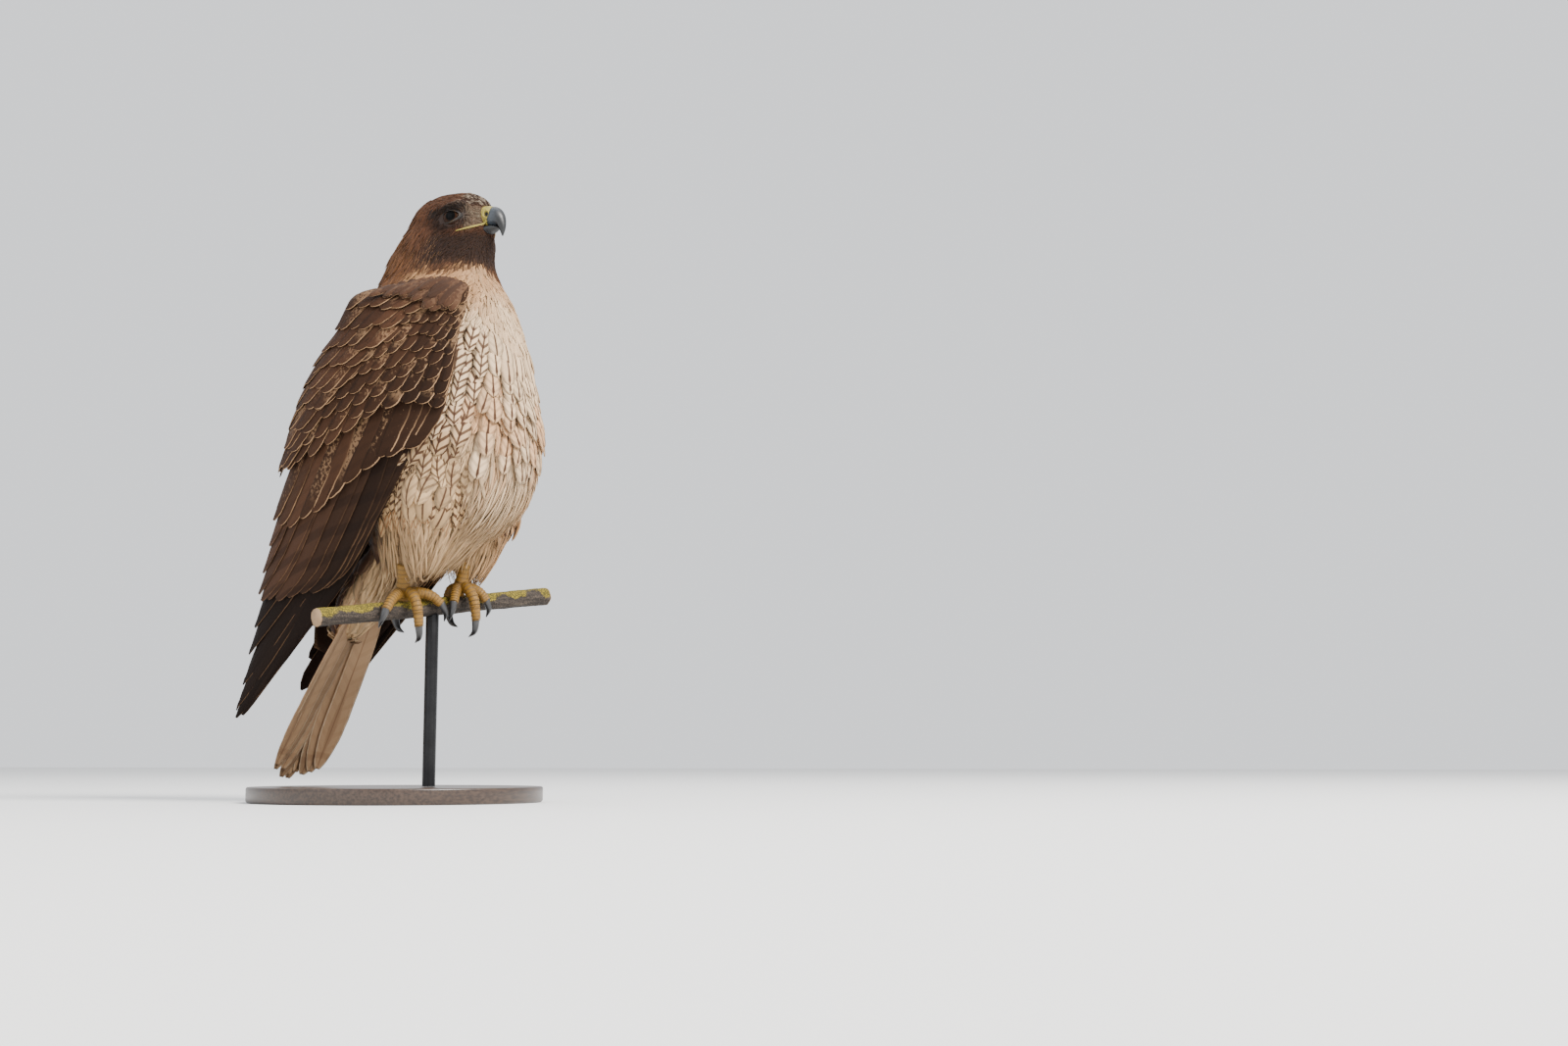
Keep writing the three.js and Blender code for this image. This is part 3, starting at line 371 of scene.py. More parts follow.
@dataclass(frozen=True)
class Rings:
    """A length of the body: front and back point, forward and up, and half width of each ring."""

    rows: tuple
    squareness: float = 2.3
    under_wing: bool = True
    neck_share: float = 0.0

    def surface(self, share: Array, angle: Array, inset: float) -> Array:
        """Points at a share of the way through the rings and an angle from the front.

        A ring is the curve (cos a, sin a) with each part raised to a power that squares it a little.

        Args:
            share: 0 at the first ring, 1 at the last.
            angle: 0 at the front, a quarter turn at the left.
            inset: how far inside the ring the surface runs.

        Returns:
            The points, in millimetres.
        """
        knots = [(i, *front, *back, half) for i, (front, back, half) in enumerate(self.rows)]
        read = along(knots, np.asarray(share) * (len(self.rows) - 1))
        inset = inset * (1 - self.neck_share * ramp(share, 0.35, 0.2))
        front, back, half = read[..., 0:2], read[..., 2:4], read[..., 4] - inset
        middle, deep = (front + back) / 2, (front - back) / 2
        deep = deep * (1 - (inset / np.linalg.norm(deep, axis=-1)))[..., None]
        spot = middle + deep * bulge(np.cos(angle), self.squareness)[..., None]
        left = half * bulge(np.sin(angle), self.squareness)
        if self.under_wing:
            most = FLANK.room(spot[..., 0], spot[..., 1]) - inset
            left = np.sign(left) * np.minimum(np.abs(left), most)
        return place(left, spot[..., 0], spot[..., 1])

    def solid(self, inset: float, steps: int = 60, sides: int = 72) -> Mesh:
        """The closed length at an inset."""
        share, angle = net(np.linspace(0, 1, steps), turns(sides))
        return tube(self.surface(share, angle, inset))


BODY = Rings((
    ((40, 455), (-20, 458), 23), ((49, 438), (-32, 443), 29), ((48, 420), (-41, 427), 34),
    ((53, 404), (-47, 411), 39), ((63, 384), (-53, 396), 47), ((71, 358), (-68, 378), 57),
    ((77, 325), (-85, 356), 65), ((82, 290), (-88, 334), 70), ((82, 260), (-88, 300), 69),
    ((74, 234), (-82, 265), 64), ((54, 212), (-70, 235), 54), ((22, 193), (-60, 214), 40),
    ((-14, 176), (-54, 200), 27),
), neck_share=-0.1)
COVERTS = Rings((
    ((10, 190), (-50, 210), 30), ((-15.2, 175.6), (-54.6, 199.2), 26.5), ((-28, 162), (-66, 186), 25),
    ((-44, 147), (-78, 166), 23), ((-58, 134), (-86, 148), 19), ((-67, 127), (-90, 137), 13),
), under_wing=False)
THIGH = ((34, 22, 262, 20), (37, 22, 236, 30), (33, 16, 209, 25), (27, 5, 184, 13))
FOOT_STAGGER = 6


@dataclass(frozen=True)
class HeadForm:
    """The head, in its own frame: left, forward and up from the middle of the braincase."""

    at: tuple[float, float, float] = (0, 15.6, 452)
    yaw: float = math.radians(10)
    pitch: float = math.radians(4)
    squareness: float = 2.2
    # forward, half width, top, bottom
    sections: tuple = (
        (-38, 10, 2, -16), (-34, 16, 10, -24), (-26, 21.5, 17.5, -29), (-15, 25, 23, -31),
        (-3, 26.2, 25, -31), (7, 25.6, 24.2, -30), (15, 23.2, 23, -28), (21.5, 18.4, 20.4, -25.5),
        (26.5, 12.8, 16.4, -22.5), (30.5, 9, 12.2, -19),
    )

    def _turn(self) -> Array:
        """The matrix that pitches the head up and turns it to the right."""
        c, s = math.cos(-self.pitch), math.sin(-self.pitch)
        pitch = np.array([[1, 0, 0], [0, c, -s], [0, s, c]])
        c, s = math.cos(-self.yaw), math.sin(-self.yaw)
        return np.array([[c, -s, 0], [s, c, 0], [0, 0, 1]]) @ pitch

    def point(self, left: Array, forward: Array, up: Array) -> Array:
        """Points of the head's frame in the frame of the bird."""
        return place(left, forward, up) @ self._turn().T + place(*self.at)

    def local(self, points: Array) -> Array:
        """Left, forward and up in the head's frame of points of the bird's."""
        own = (points - place(*self.at)) @ self._turn()
        return own * np.array([1, -1, 1])

    def cheek(self, forward: Array, up: Array) -> Array:
        """Half width of the head at a place forward and up."""
        half, top, bottom = np.moveaxis(along(self.sections, forward), -1, 0)
        part = np.minimum(np.abs(up - (top + bottom) / 2) / ((top - bottom) / 2), 1)
        return half * (1 - part ** self.squareness) ** (1 / self.squareness)

    def solid(self, inset: float, steps: int = 60, sides: int = 64) -> Mesh:
        """The closed head at an inset: an ellipse-like ring at each place forward.

        Args:
            inset: depth under the head's surface.
            steps: rings.
            sides: points in a ring.

        Returns:
            The mesh.
        """
        first, last = self.sections[0][0] + inset, self.sections[-1][0] - inset
        ease = (1 - np.cos(np.linspace(0, math.pi, steps))) / 2
        forward, a = net(first + (last - first) * ease, turns(sides))
        half, top, bottom = np.moveaxis(along(self.sections, forward), -1, 0)
        deep = (top - bottom) / 2 - inset
        return tube(self.point((half - inset) * bulge(np.sin(a), self.squareness), forward,
                               (top + bottom) / 2 + deep * bulge(np.cos(a), self.squareness)))

    def ball(self, centre: Sequence[float], radii: Sequence[float], detail: int = 24) -> Mesh:
        """A ball stretched along the axes of the head.

        Args:
            centre: its middle in the head's frame.
            radii: its reach left, forward and up.
            detail: rings, and points in a ring.

        Returns:
            The mesh.
        """
        pole = 0.04
        t, a = net(np.linspace(pole, math.pi - pole, detail), turns(detail))
        return tube(self.point(centre[0] + radii[0] * np.sin(t) * np.cos(a),
                               centre[1] + radii[1] * np.cos(t),
                               centre[2] - radii[2] * np.sin(t) * np.sin(a)))


HEAD = HeadForm()
EYE_AT = (16.9, 9.5, -1.0)
EYE_RADIUS = 9.0
BILL_BASE = (0.0, 34.0, 0.0)
# line of the mouth from its corner to the bill: forward, up
GAPE = ((14.0, -12.8), (19, -11.6), (24.5, -9.6), (30, -6.8), (33, -4.8))


@dataclass(frozen=True)
class PerchForm:
    """The branch, with places measured along it and forward and up from its axis."""

    radius: float = 7.6
    height: float = 150
    yaw: float = math.radians(24.6)
    rise: float = math.radians(7.7)
    reach: tuple[float, float] = (-104, 112)
    foot_along: float = 26

    def point(self, distance: Array, forward: Array, up: Array) -> Array:
        """Points by the branch in the frame of the bird.

        Args:
            distance: along the branch from its middle.
            forward: forward of its axis.
            up: above its axis.

        Returns:
            The points.
        """
        ahead = place(math.cos(self.yaw) * math.cos(self.rise), math.sin(self.yaw) * math.cos(self.rise),
                      math.sin(self.rise))
        front = place(-math.sin(self.yaw), math.cos(self.yaw), 0)
        top = unit(np.cross(ahead, -front))
        top = top * np.sign(top[2])
        spread = np.broadcast_arrays(distance, forward, up)
        distance, forward, up = (np.asarray(v, float)[..., None] for v in spread)
        return place(0, 0, self.height) + distance * ahead + forward * front + up * top

    def foot(self, side: Side, outwards: Array, forward: Array, up: Array) -> Array:
        """Points by a foot: outwards along the branch, forward and up from its axis."""
        return self.point(side.value * (self.foot_along + np.asarray(outwards, float)), forward, up)


PERCH = PerchForm()


# Shader nodes


Settings = dict[str, Any] | None
Material = bpy.types.Material


class Value:
    """A shader socket that takes part in Python expressions."""

    def __init__(self, recipe: "Recipe", socket: Any) -> None:
        """Keep the socket and the recipe that it belongs to."""
        self.recipe, self.socket = recipe, socket

    def math(self, operation: str, *others: Any) -> "Value":
        """A Math node on this value and others."""
        return self.recipe.value("ShaderNodeMath", {"operation": operation}, [self, *others])

    def __add__(self, other: Any) -> "Value":
        """Sum."""
        return self.math("ADD", other)

    def __sub__(self, other: Any) -> "Value":
        """Difference."""
        return self.math("SUBTRACT", other)

    def __rsub__(self, other: Any) -> "Value":
        """A number less this value."""
        return self.recipe.value("ShaderNodeMath", {"operation": "SUBTRACT"}, [other, self])

    def __mul__(self, other: Any) -> "Value":
        """Product."""
        return self.math("MULTIPLY", other)

    __radd__ = __add__
    __rmul__ = __mul__

    def size(self) -> "Value":
        """The value without its sign."""
        return self.math("ABSOLUTE")

    def sine(self) -> "Value":
        """Its sine."""
        return self.math("SINE")

    def step(self, low: float, high: float) -> "Value":
        """A smooth step from 0 at low to 1 at high."""
        settings = {"interpolation_type": "SMOOTHSTEP"}
        if low < high:
            return self.recipe.value("ShaderNodeMapRange", settings, [self, low, high, 0, 1])
        return self.recipe.value("ShaderNodeMapRange", settings, [self, high, low, 1, 0])


class Recipe:
    """The nodes of one material."""

    def __init__(self, name: str) -> None:
        """Start a material with a Principled shader."""
        self.material = bpy.data.materials.new(name)
        self.material.use_nodes = True
        self.tree = self.material.node_tree
        self.shader = next(n for n in self.tree.nodes if n.type == "BSDF_PRINCIPLED")

    def node(self, kind: str, settings: Settings = None, inputs: Any = ()) -> Any:
        """Add a node.

        Args:
            kind: the node's type.
            settings: its own settings, such as the operation of a Math node.
            inputs: values or links by the order or the names of its sockets.

        Returns:
            The node.
        """
        node = self.tree.nodes.new(kind)
        for key, value in (settings or {}).items():
            setattr(node, key, value)
        for key, value in inputs.items() if isinstance(inputs, dict) else enumerate(inputs):
            self.feed(node.inputs[key], value)
        return node

    def feed(self, socket: Any, value: Any) -> None:
        """Set a socket to a number or colour, or link it.

        Args:
            socket: an input of a node.
            value: a number, colour or socket; None leaves it alone.
        """
        if isinstance(value, Value):
            self.tree.links.new(value.socket, socket)
        elif value is not None:
            wide = isinstance(value, (tuple, list)) and len(value) == 3 and socket.type == "RGBA"
            socket.default_value = (*value, 1) if wide else value

    def value(self, kind: str, settings: Settings = None, inputs: Any = (), output: Any = 0) -> Value:
        """Add a node and take one of its outputs."""
        return Value(self, self.node(kind, settings, inputs).outputs[output])

    def mix(self, a: Any, b: Any, share: Any) -> Value:
        """A colour between two."""
        return self.value("ShaderNodeMix", {"data_type": "RGBA"}, {0: share, 6: a, 7: b}, 2)

    def attribute(self, name: str, output: str = "Color") -> Value:
        """A colour that the piece's points carry."""
        return self.value("ShaderNodeAttribute", {"attribute_name": name}, (), output)

    def parts(self, vector: Value) -> list[Value]:
        """The three numbers of a vector."""
        node = self.node("ShaderNodeSeparateXYZ", None, [vector])
        return [Value(self, node.outputs[i]) for i in range(3)]

    def vane(self) -> list[Value]:
        """Share across and along the feather, toe or bill, from the piece's own map."""
        return self.parts(self.value("ShaderNodeUVMap", {"uv_map": "Vane"}))

    def marks(self) -> list[Value]:
        """The three marks that each point carries."""
        return self.parts(self.attribute("Marks", "Vector"))

    def spot(self) -> Value:
        """Object coordinates."""
        return self.value("ShaderNodeTexCoord", None, (), "Object")

    def noise(self, scale: float, detail: float = 3, vector: Value | None = None) -> Value:
        """Noise of a number of grains a metre, over Object coordinates unless others are given."""
        where = vector or self.spot()
        return self.value("ShaderNodeTexNoise", None, {"Vector": where, "Scale": scale, "Detail": detail}, 0)

    def surface(self, **inputs: Any) -> Material:
        """Feed the shader and return the material."""
        for key, value in inputs.items():
            self.feed(self.shader.inputs[key.replace("_", " ")], value)
        return self.material

    def bump(self, height: Value, strength: float, distance: float) -> Value:
        """A normal from a height."""
        inputs = {"Strength": strength, "Distance": distance, "Height": height}
        return self.value("ShaderNodeBump", None, inputs)


Colour = tuple[float, float, float]
# share along a vane where its tip begins to round, and how far that goes
TIP_START, TIP_LENGTH = 0.78, 0.225


@dataclass(frozen=True)
class FeatherFinish:
    """Feathers: a tint from each root, a fringe, a shaft and dark marks laid out along the vane."""

    name: str
    slot: str
    fringe: Colour
    dark: Colour
    fringe_share: float = 0.6
    fringe_width: float = 0.12
    bars: float = 4
    slant: float = 0.5
    barbs: float = 60
    shaft: float = 0.35
    shaft_width: float = 0.07
    streak_at: float = 0.8
    streak_narrow: float = 0.9
    mottle: float = 0.0
    band: float = 0.0
    barb_depth: float = 0.2
    gloss: float = 0.2
    roughness: float = 0.75

    def build(self) -> Material:
        """Mix the tint with the fringe at the edge and tip, the streak by the shaft and the bars.

        Returns:
            The material.
        """
        r = Recipe(self.name)
        tint = r.attribute("Tint")
        streak_part, bar_part, chance = r.marks()
        x, y, _ = r.vane()
        out = (x * 2 - 1).size()
        mottle = r.noise(900, 2)
        end = (y - TIP_START).math("MAXIMUM", 0.0) * (1 / TIP_LENGTH)
        to_edge = (1 - out) * (1 - end * end).math("MAXIMUM", 0.0).math("SQRT")
        worn = self.fringe_width * (mottle * 1.2 + 0.1 + chance * 0.6)
        edge = (to_edge - worn).step(0.03, -0.04) * (y.step(0.3, 0.85) * 0.85 + 0.15)
        streak = out * self.streak_narrow + (y - self.streak_at).size() * 1.1 + mottle * 0.16
        streak = streak.step(0.46, 0.3) * streak_part
        wave = ((y + out * self.slant) * (self.bars * TURN) + chance * 3).sine()
        bar = (wave + mottle * 0.7).step(0.5, 0.95) * bar_part * y.step(0.05, 0.3)
        thread = ((y - out * 0.45) * (self.barbs * TURN) + mottle * 4).sine()
        patch = (r.noise(420, 2) + chance * 0.5).step(0.84, 1.02) * y.step(0.85, 0.55) * self.mottle
        colour = r.mix(tint, self.fringe, (edge * self.fringe_share).math("MAXIMUM", patch))
        colour = r.mix(colour, self.dark, streak.math("MAXIMUM", bar) * 0.92)
        colour = r.mix(colour, self.dark, out.step(self.shaft_width, self.shaft_width * 0.3) * self.shaft)
        if self.band:
            colour = r.mix(colour, self.dark, y.step(0.915, 0.925) * y.step(0.955, 0.945) * self.band)
        colour = r.mix(colour, (0.0, 0.0, 0.0), thread.step(-0.2, 1.4) * self.barb_depth)
        height = thread * 0.5 + out.step(0.12, 0.0) * 1.5
        return r.surface(Base_Color=colour, Roughness=self.roughness, Specular_IOR_Level=self.gloss,
                         Normal=r.bump(height, 0.35, 0.0002))


@dataclass(frozen=True)
class TintFinish:
    """The bare skin under the coat, in the coat's own tints."""

    name: str = "coat_skin"
    slot: str = "plumage_body"

    def build(self) -> Material:
        """Darken the tint a little by fine noise."""
        r = Recipe(self.name)
        colour = r.mix(r.attribute("Tint"), (0.02, 0.013, 0.009), r.noise(700).step(0.3, 0.9) * 0.5)
        return r.surface(Base_Color=colour, Roughness=0.85, Normal=r.bump(r.noise(1500), 0.4, 0.0004))


@dataclass(frozen=True)
class HornFinish:
    """Horn of the bill and claws: a base and a tip colour along the piece, a ridge darkened as painted shade,
    with a fine polish.
    """

    name: str
    slot: str
    base: Colour
    tip: Colour
    turn: tuple[float, float] = (0.2, 0.8)
    roughness: float = 0.3
    ridge: float = 0.0

    def build(self) -> Material:
        """Blend from base to tip along the piece, darken the ridge as painted shade, and break the gloss by
        noise.

        Returns:
            The material.
        """
        r = Recipe(self.name)
        x, y, _ = r.vane()
        grain = r.noise(420, 4)
        # painted shade: the ridge and outline of the bill darkened toward the tip colour
        ridge = (x - 0.5).size().step(0.36, 0.47) * self.ridge
        colour = r.mix(self.base, self.tip, (y + grain * 0.3 - 0.15).step(*self.turn).math("MAXIMUM", ridge))
        rough = grain * 0.3 + (self.roughness - 0.12)
        return r.surface(Base_Color=colour, Roughness=rough, Coat_Weight=0.1, Coat_Roughness=0.25,
                         Normal=r.bump(grain, 0.2, 0.0003))


@dataclass(frozen=True)
class ScaleFinish:
    """Scaled yellow skin, darker between its scales, or the smooth cere."""

    name: str
    slot: str
    colour: Colour
    crease: Colour
    grain: float = 900

    def build(self) -> Material:
        """Cells of small scales, with the crease colour from each point's marks, which on the cere is painted
        shade in the nostril pits.

        Returns:
            The material.
        """
        r = Recipe(self.name)
        depth, _, _ = r.marks()
        cells = r.value("ShaderNodeTexVoronoi", {"feature": "DISTANCE_TO_EDGE"},
                        {"Vector": r.spot(), "Scale": self.grain})
        line = cells.step(0.12, 0.0)
        # crease colour: dark joints of the foot plates, the lids' own dark rim, and painted shade in the
        # cere's nostril pits
        colour = r.mix(self.colour, self.crease, depth.math("MAXIMUM", line * 0.5))
        colour = r.mix(colour, (0.16, 0.09, 0.02), r.noise(260).step(0.5, 0.8) * 0.35)
        return r.surface(Base_Color=colour, Roughness=0.5, Specular_IOR_Level=0.4,
                         Normal=r.bump(line * -1.0, 0.5, 0.0003))


@dataclass(frozen=True)
class EyeFinish:
    """A wet dark brown eye with a black pupil."""

    name: str = "eye_wet"
    slot: str = "eye_glass"

    def build(self) -> Material:
        """Rings of pupil, iris and dark rim by the angle from the middle of the eye.

        Returns:
            The material.
        """
        r = Recipe(self.name)
        _, y, _ = r.vane()
        fibres = r.noise(2600, 2)
        iris = r.mix((0.03, 0.012, 0.005), (0.012, 0.005, 0.0025), fibres)
        colour = r.mix((0.001, 0.001, 0.001), iris, y.step(0.13, 0.15))
        colour = r.mix(colour, (0.004, 0.003, 0.003), y.step(0.27, 0.31))
        return r.surface(Base_Color=colour, Roughness=0.06, Specular_IOR_Level=0.15, IOR=1.34)


@dataclass(frozen=True)
class BarkFinish:
    """Grey-brown bark with yellow-green moss on its upper side."""

    name: str = "bark_moss"
    slot: str = "bark"

    def build(self) -> Material:
        """Long cracks darkened as painted shade where the bark sinks, grey plates and moss where the marks
        say it grows.

        Returns:
            The material.
        """
        r = Recipe(self.name)
        moss_part, wood_part, crack_shade = r.marks()
        fine, broad = r.noise(900, 5), r.noise(120, 4)
        # painted shade: darker where the bark sinks into its cracks
        bark = r.mix((0.012, 0.008, 0.006), (0.12, 0.09, 0.065), (fine * 0.7 + crack_shade * 0.6).step(0.35, 0.95))
        moss = r.mix((0.03, 0.026, 0.003), (0.26, 0.19, 0.012), r.noise(1100, 4).step(0.38, 0.66))
        colour = r.mix(bark, moss, (moss_part * 0.8 + broad * 1.2 + fine * 0.6 - 0.95).step(0.3, 0.55))
        wood = r.mix((0.42, 0.28, 0.16), (0.24, 0.14, 0.07), fine)
        colour = r.mix(colour, wood, wood_part)
        return r.surface(Base_Color=colour, Roughness=0.92, Normal=r.bump(fine + broad * 0.6, 0.7, 0.0009))


@dataclass(frozen=True)
class StandFinish:
    """Dark lacquered wood of the disc, or satin black steel of the rod."""

    name: str
    slot: str
    light: Colour
    deep: Colour
    metallic: float = 0.0
    stretch: tuple[float, float, float] = (1, 1, 1)

    def build(self) -> Material:
        """A grain of stretched noise under a thin coat.

        Returns:
            The material.
        """
        r = Recipe(self.name)
        where = r.value("ShaderNodeMapping", None, {"Vector": r.spot(), "Scale": self.stretch})
        grain = r.noise(60, 6, where)
        colour = r.mix(self.deep, self.light, grain.step(0.3, 0.7))
        return r.surface(Base_Color=colour, Roughness=grain * 0.15 + 0.3, Metallic=self.metallic,
                         Coat_Weight=0.2, Coat_Roughness=0.25, Normal=r.bump(grain, 0.15, 0.0002))


# Finishes of this bird, by what wears them
BODY_FEATHER = FeatherFinish(
    "coat_body", "plumage_body", (0.72, 0.52, 0.32), (0.12, 0.04, 0.013), fringe_share=0.5,
    fringe_width=0.2, bars=1.5, slant=0.3, barbs=16, shaft=0.6, streak_at=0.86, streak_narrow=1.7,
    shaft_width=0.11)
SIDE_FEATHER = FeatherFinish(
    "coat_side", "plumage_body", (0.68, 0.48, 0.28), (0.05, 0.018, 0.007), fringe_share=0.4,
    fringe_width=0.15, bars=3.2, slant=0.12, barbs=20, shaft=0.25)
FLANK_FEATHER = FeatherFinish(
    "coat_flank", "plumage_body", (0.74, 0.55, 0.36), (0.05, 0.02, 0.009), fringe_share=0.4,
    fringe_width=0.12, bars=3.3, slant=0.3, barbs=26, shaft=0.95, shaft_width=0.17, streak_at=0.84,
    streak_narrow=1.2)
MANTLE_FEATHER = FeatherFinish(
    "coat_mantle", "plumage_body", (0.4, 0.24, 0.13), (0.02, 0.011, 0.007), fringe_share=0.7,
    fringe_width=0.1, bars=2, barbs=22, shaft=0.4, mottle=0.12)
HEAD_FEATHER = FeatherFinish(
    "coat_head", "plumage_head", (0.2, 0.1, 0.045), (0.015, 0.007, 0.004), fringe_share=0.35,
    fringe_width=0.25, bars=2, barbs=9, shaft=0.4, streak_at=0.7)
NAPE_FEATHER = FeatherFinish(
    "coat_nape", "plumage_head", (0.38, 0.2, 0.085), (0.022, 0.01, 0.005), fringe_share=0.75,
    fringe_width=0.2, bars=2, barbs=12, shaft=0.6, streak_at=0.7)
WING_FEATHER = FeatherFinish(
    "vane_wing", "plumage_wing", (0.5, 0.3, 0.16), (0.01, 0.005, 0.003), fringe_share=0.85,
    fringe_width=0.08, bars=5, slant=0.2, barbs=70, shaft=0.5, mottle=0.3, gloss=0.1)
FLIGHT_FEATHER = FeatherFinish(
    "vane_flight", "plumage_wing", (0.3, 0.17, 0.09), (0.008, 0.004, 0.003), fringe_share=0.45,
    fringe_width=0.05, bars=6, slant=0.12, barbs=110, shaft=0.5, gloss=0.1)
TAIL_FEATHER = FeatherFinish(
    "vane_tail", "plumage_tail", (0.55, 0.42, 0.29), (0.1, 0.045, 0.022), fringe_share=0.5,
    fringe_width=0.1, bars=15, slant=0.05, barbs=110, shaft=0.6, barb_depth=0.06, band=0.3)
LEG_FEATHER = FeatherFinish(
    "coat_leg", "plumage_leg", (0.68, 0.52, 0.33), (0.2, 0.085, 0.03), fringe_share=0.4,
    fringe_width=0.3, bars=3.2, slant=0.4, barbs=14, shaft=0.3)
SKIN = TintFinish()
# its ridge share paints shade along the bill's ridge and outline
BILL_HORN = HornFinish(
    "bill_horn_fine", "bill_horn", (0.034, 0.042, 0.053), (0.005, 0.0055, 0.0065), (0.15, 0.62), 0.42,
    ridge=0.9)
# darker than the upper half: painted shade on the lower mandible under the hook
SHADED_UNDER_HORN = HornFinish(
    "bill_under_shaded", "bill_horn", (0.018, 0.02, 0.024), (0.008, 0.009, 0.01), roughness=0.55)
CLAW_HORN = HornFinish(
    "claw_horn_fine", "claw_horn", (0.03, 0.029, 0.03), (0.008, 0.008, 0.009), (0.1, 0.6), 0.3)
FOOT_SKIN = ScaleFinish("foot_scales", "scaled_skin", (0.22, 0.108, 0.01), (0.03, 0.015, 0.004), 900)
LID_SKIN = ScaleFinish("lid_skin", "cere_skin", (0.036, 0.026, 0.019), (0.006, 0.004, 0.003), 2600)
# the second colour is painted shade in the nostril pits
CERE_SKIN = ScaleFinish("cere_smooth", "cere_skin", (0.34, 0.275, 0.05), (0.012, 0.01, 0.007), 2400)
EYE = EyeFinish()
BARK = BarkFinish()
DISC_WOOD = StandFinish(
    "stand_walnut", "stand_wood", (0.06, 0.035, 0.022), (0.022, 0.012, 0.008), stretch=(1, 9, 9))
ROD_STEEL = StandFinish("stand_black", "stand_metal", (0.02, 0.02, 0.021), (0.012, 0.012, 0.013), 0.9)


def show(name: str, data: Any) -> bpy.types.Object:
    """An object made of its data and put in the scene."""
    made = bpy.data.objects.new(name, data)
    bpy.context.scene.collection.objects.link(made)
    return made


class Workshop:
    """Makes pieces of the model from meshes and finishes."""

    def __init__(self) -> None:
        """Start with no finish built."""
        self.built: dict[str, Material] = {}
        self.triangles = 0

    def material(self, finish: Any) -> Material:
        """A finish's material, built once."""
        if finish.name not in self.built:
            self.built[finish.name] = finish.build()
        return self.built[finish.name]

    def piece(self, name: str, mesh: Mesh, finish: Any, *nodes: str) -> bpy.types.Object:
        """Make a mesh one piece of the model.

        Args:
            name: the piece's name.
            mesh: its points in millimetres, its faces and what its points carry.
            finish: what it is made of.
            nodes: the solids that it stands for.

        Returns:
            The object, at the origin and riding on the still body.
        """
        mesh = outward(mesh)
        data = bpy.data.meshes.new(name)
        sizes = np.concatenate([np.full(len(f), f.shape[1]) for f in mesh.faces])
        corners = np.concatenate([f.reshape(-1) for f in mesh.faces])
        data.vertices.add(len(mesh.points))
        data.vertices.foreach_set("co", (mesh.points * MM).astype(np.float32).reshape(-1))
        data.loops.add(len(corners))
        data.loops.foreach_set("vertex_index", corners.astype(np.int32))
        data.polygons.add(len(sizes))
        data.polygons.foreach_set("loop_start", np.concatenate([[0], np.cumsum(sizes)[:-1]]).astype(np.int32))
        data.update(calc_edges=True)
        data.validate()
        data.polygons.foreach_set("use_smooth", np.ones(len(data.polygons), bool))
        for layer, values in (("Vane", mesh.vane), ("OFBake", mesh.bake)):
            if values is not None:
                uv = data.uv_layers.new(name=layer)
                uv.data.foreach_set("uv", values[corners].astype(np.float32).reshape(-1))
        for layer, values in (("Tint", mesh.tint), ("Marks", mesh.marks)):
            if values is not None:
                colour = data.attributes.new(layer, "FLOAT_COLOR", "POINT")
                four = np.concatenate([values, np.ones((len(values), 1))], 1)
                colour.data.foreach_set("color", four.astype(np.float32).reshape(-1))
        data.materials.append(self.material(finish))
        made = show(name, data)
        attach(made, "root")
        if nodes:
            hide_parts(*nodes)
        count = int((sizes - 2).sum())
        self.triangles += count
        LOG.info("%s: %d triangles", name, count)
        return made


# Markings of the coat

CREAM = np.array((0.6, 0.43, 0.265))
BUFF = np.array((0.38, 0.235, 0.112))
RUFOUS = np.array((0.42, 0.165, 0.05))
BACK_BROWN = np.array((0.036, 0.0155, 0.0078))
HEAD_BROWN = np.array((0.056, 0.02, 0.0075))
THROAT_BROWN = np.array((0.0145, 0.0056, 0.0027))
NAPE_BROWN = np.array((0.13, 0.0525, 0.0195))
SIDE_BUFF = np.array((0.36, 0.19, 0.085))
LORE_GREY = np.array((0.12, 0.094, 0.064))
FOREHEAD = np.array((0.235, 0.19, 0.14))
# painted shadow under the brow and round the eye
BROW_AND_EYE_SHADE = np.array((0.0085, 0.005, 0.0035))


def toward(base: Array, colour: Array, share: Array) -> Array:
    """Tints moved a share of the way to a colour."""
    return base + (colour - base) * share[..., None]


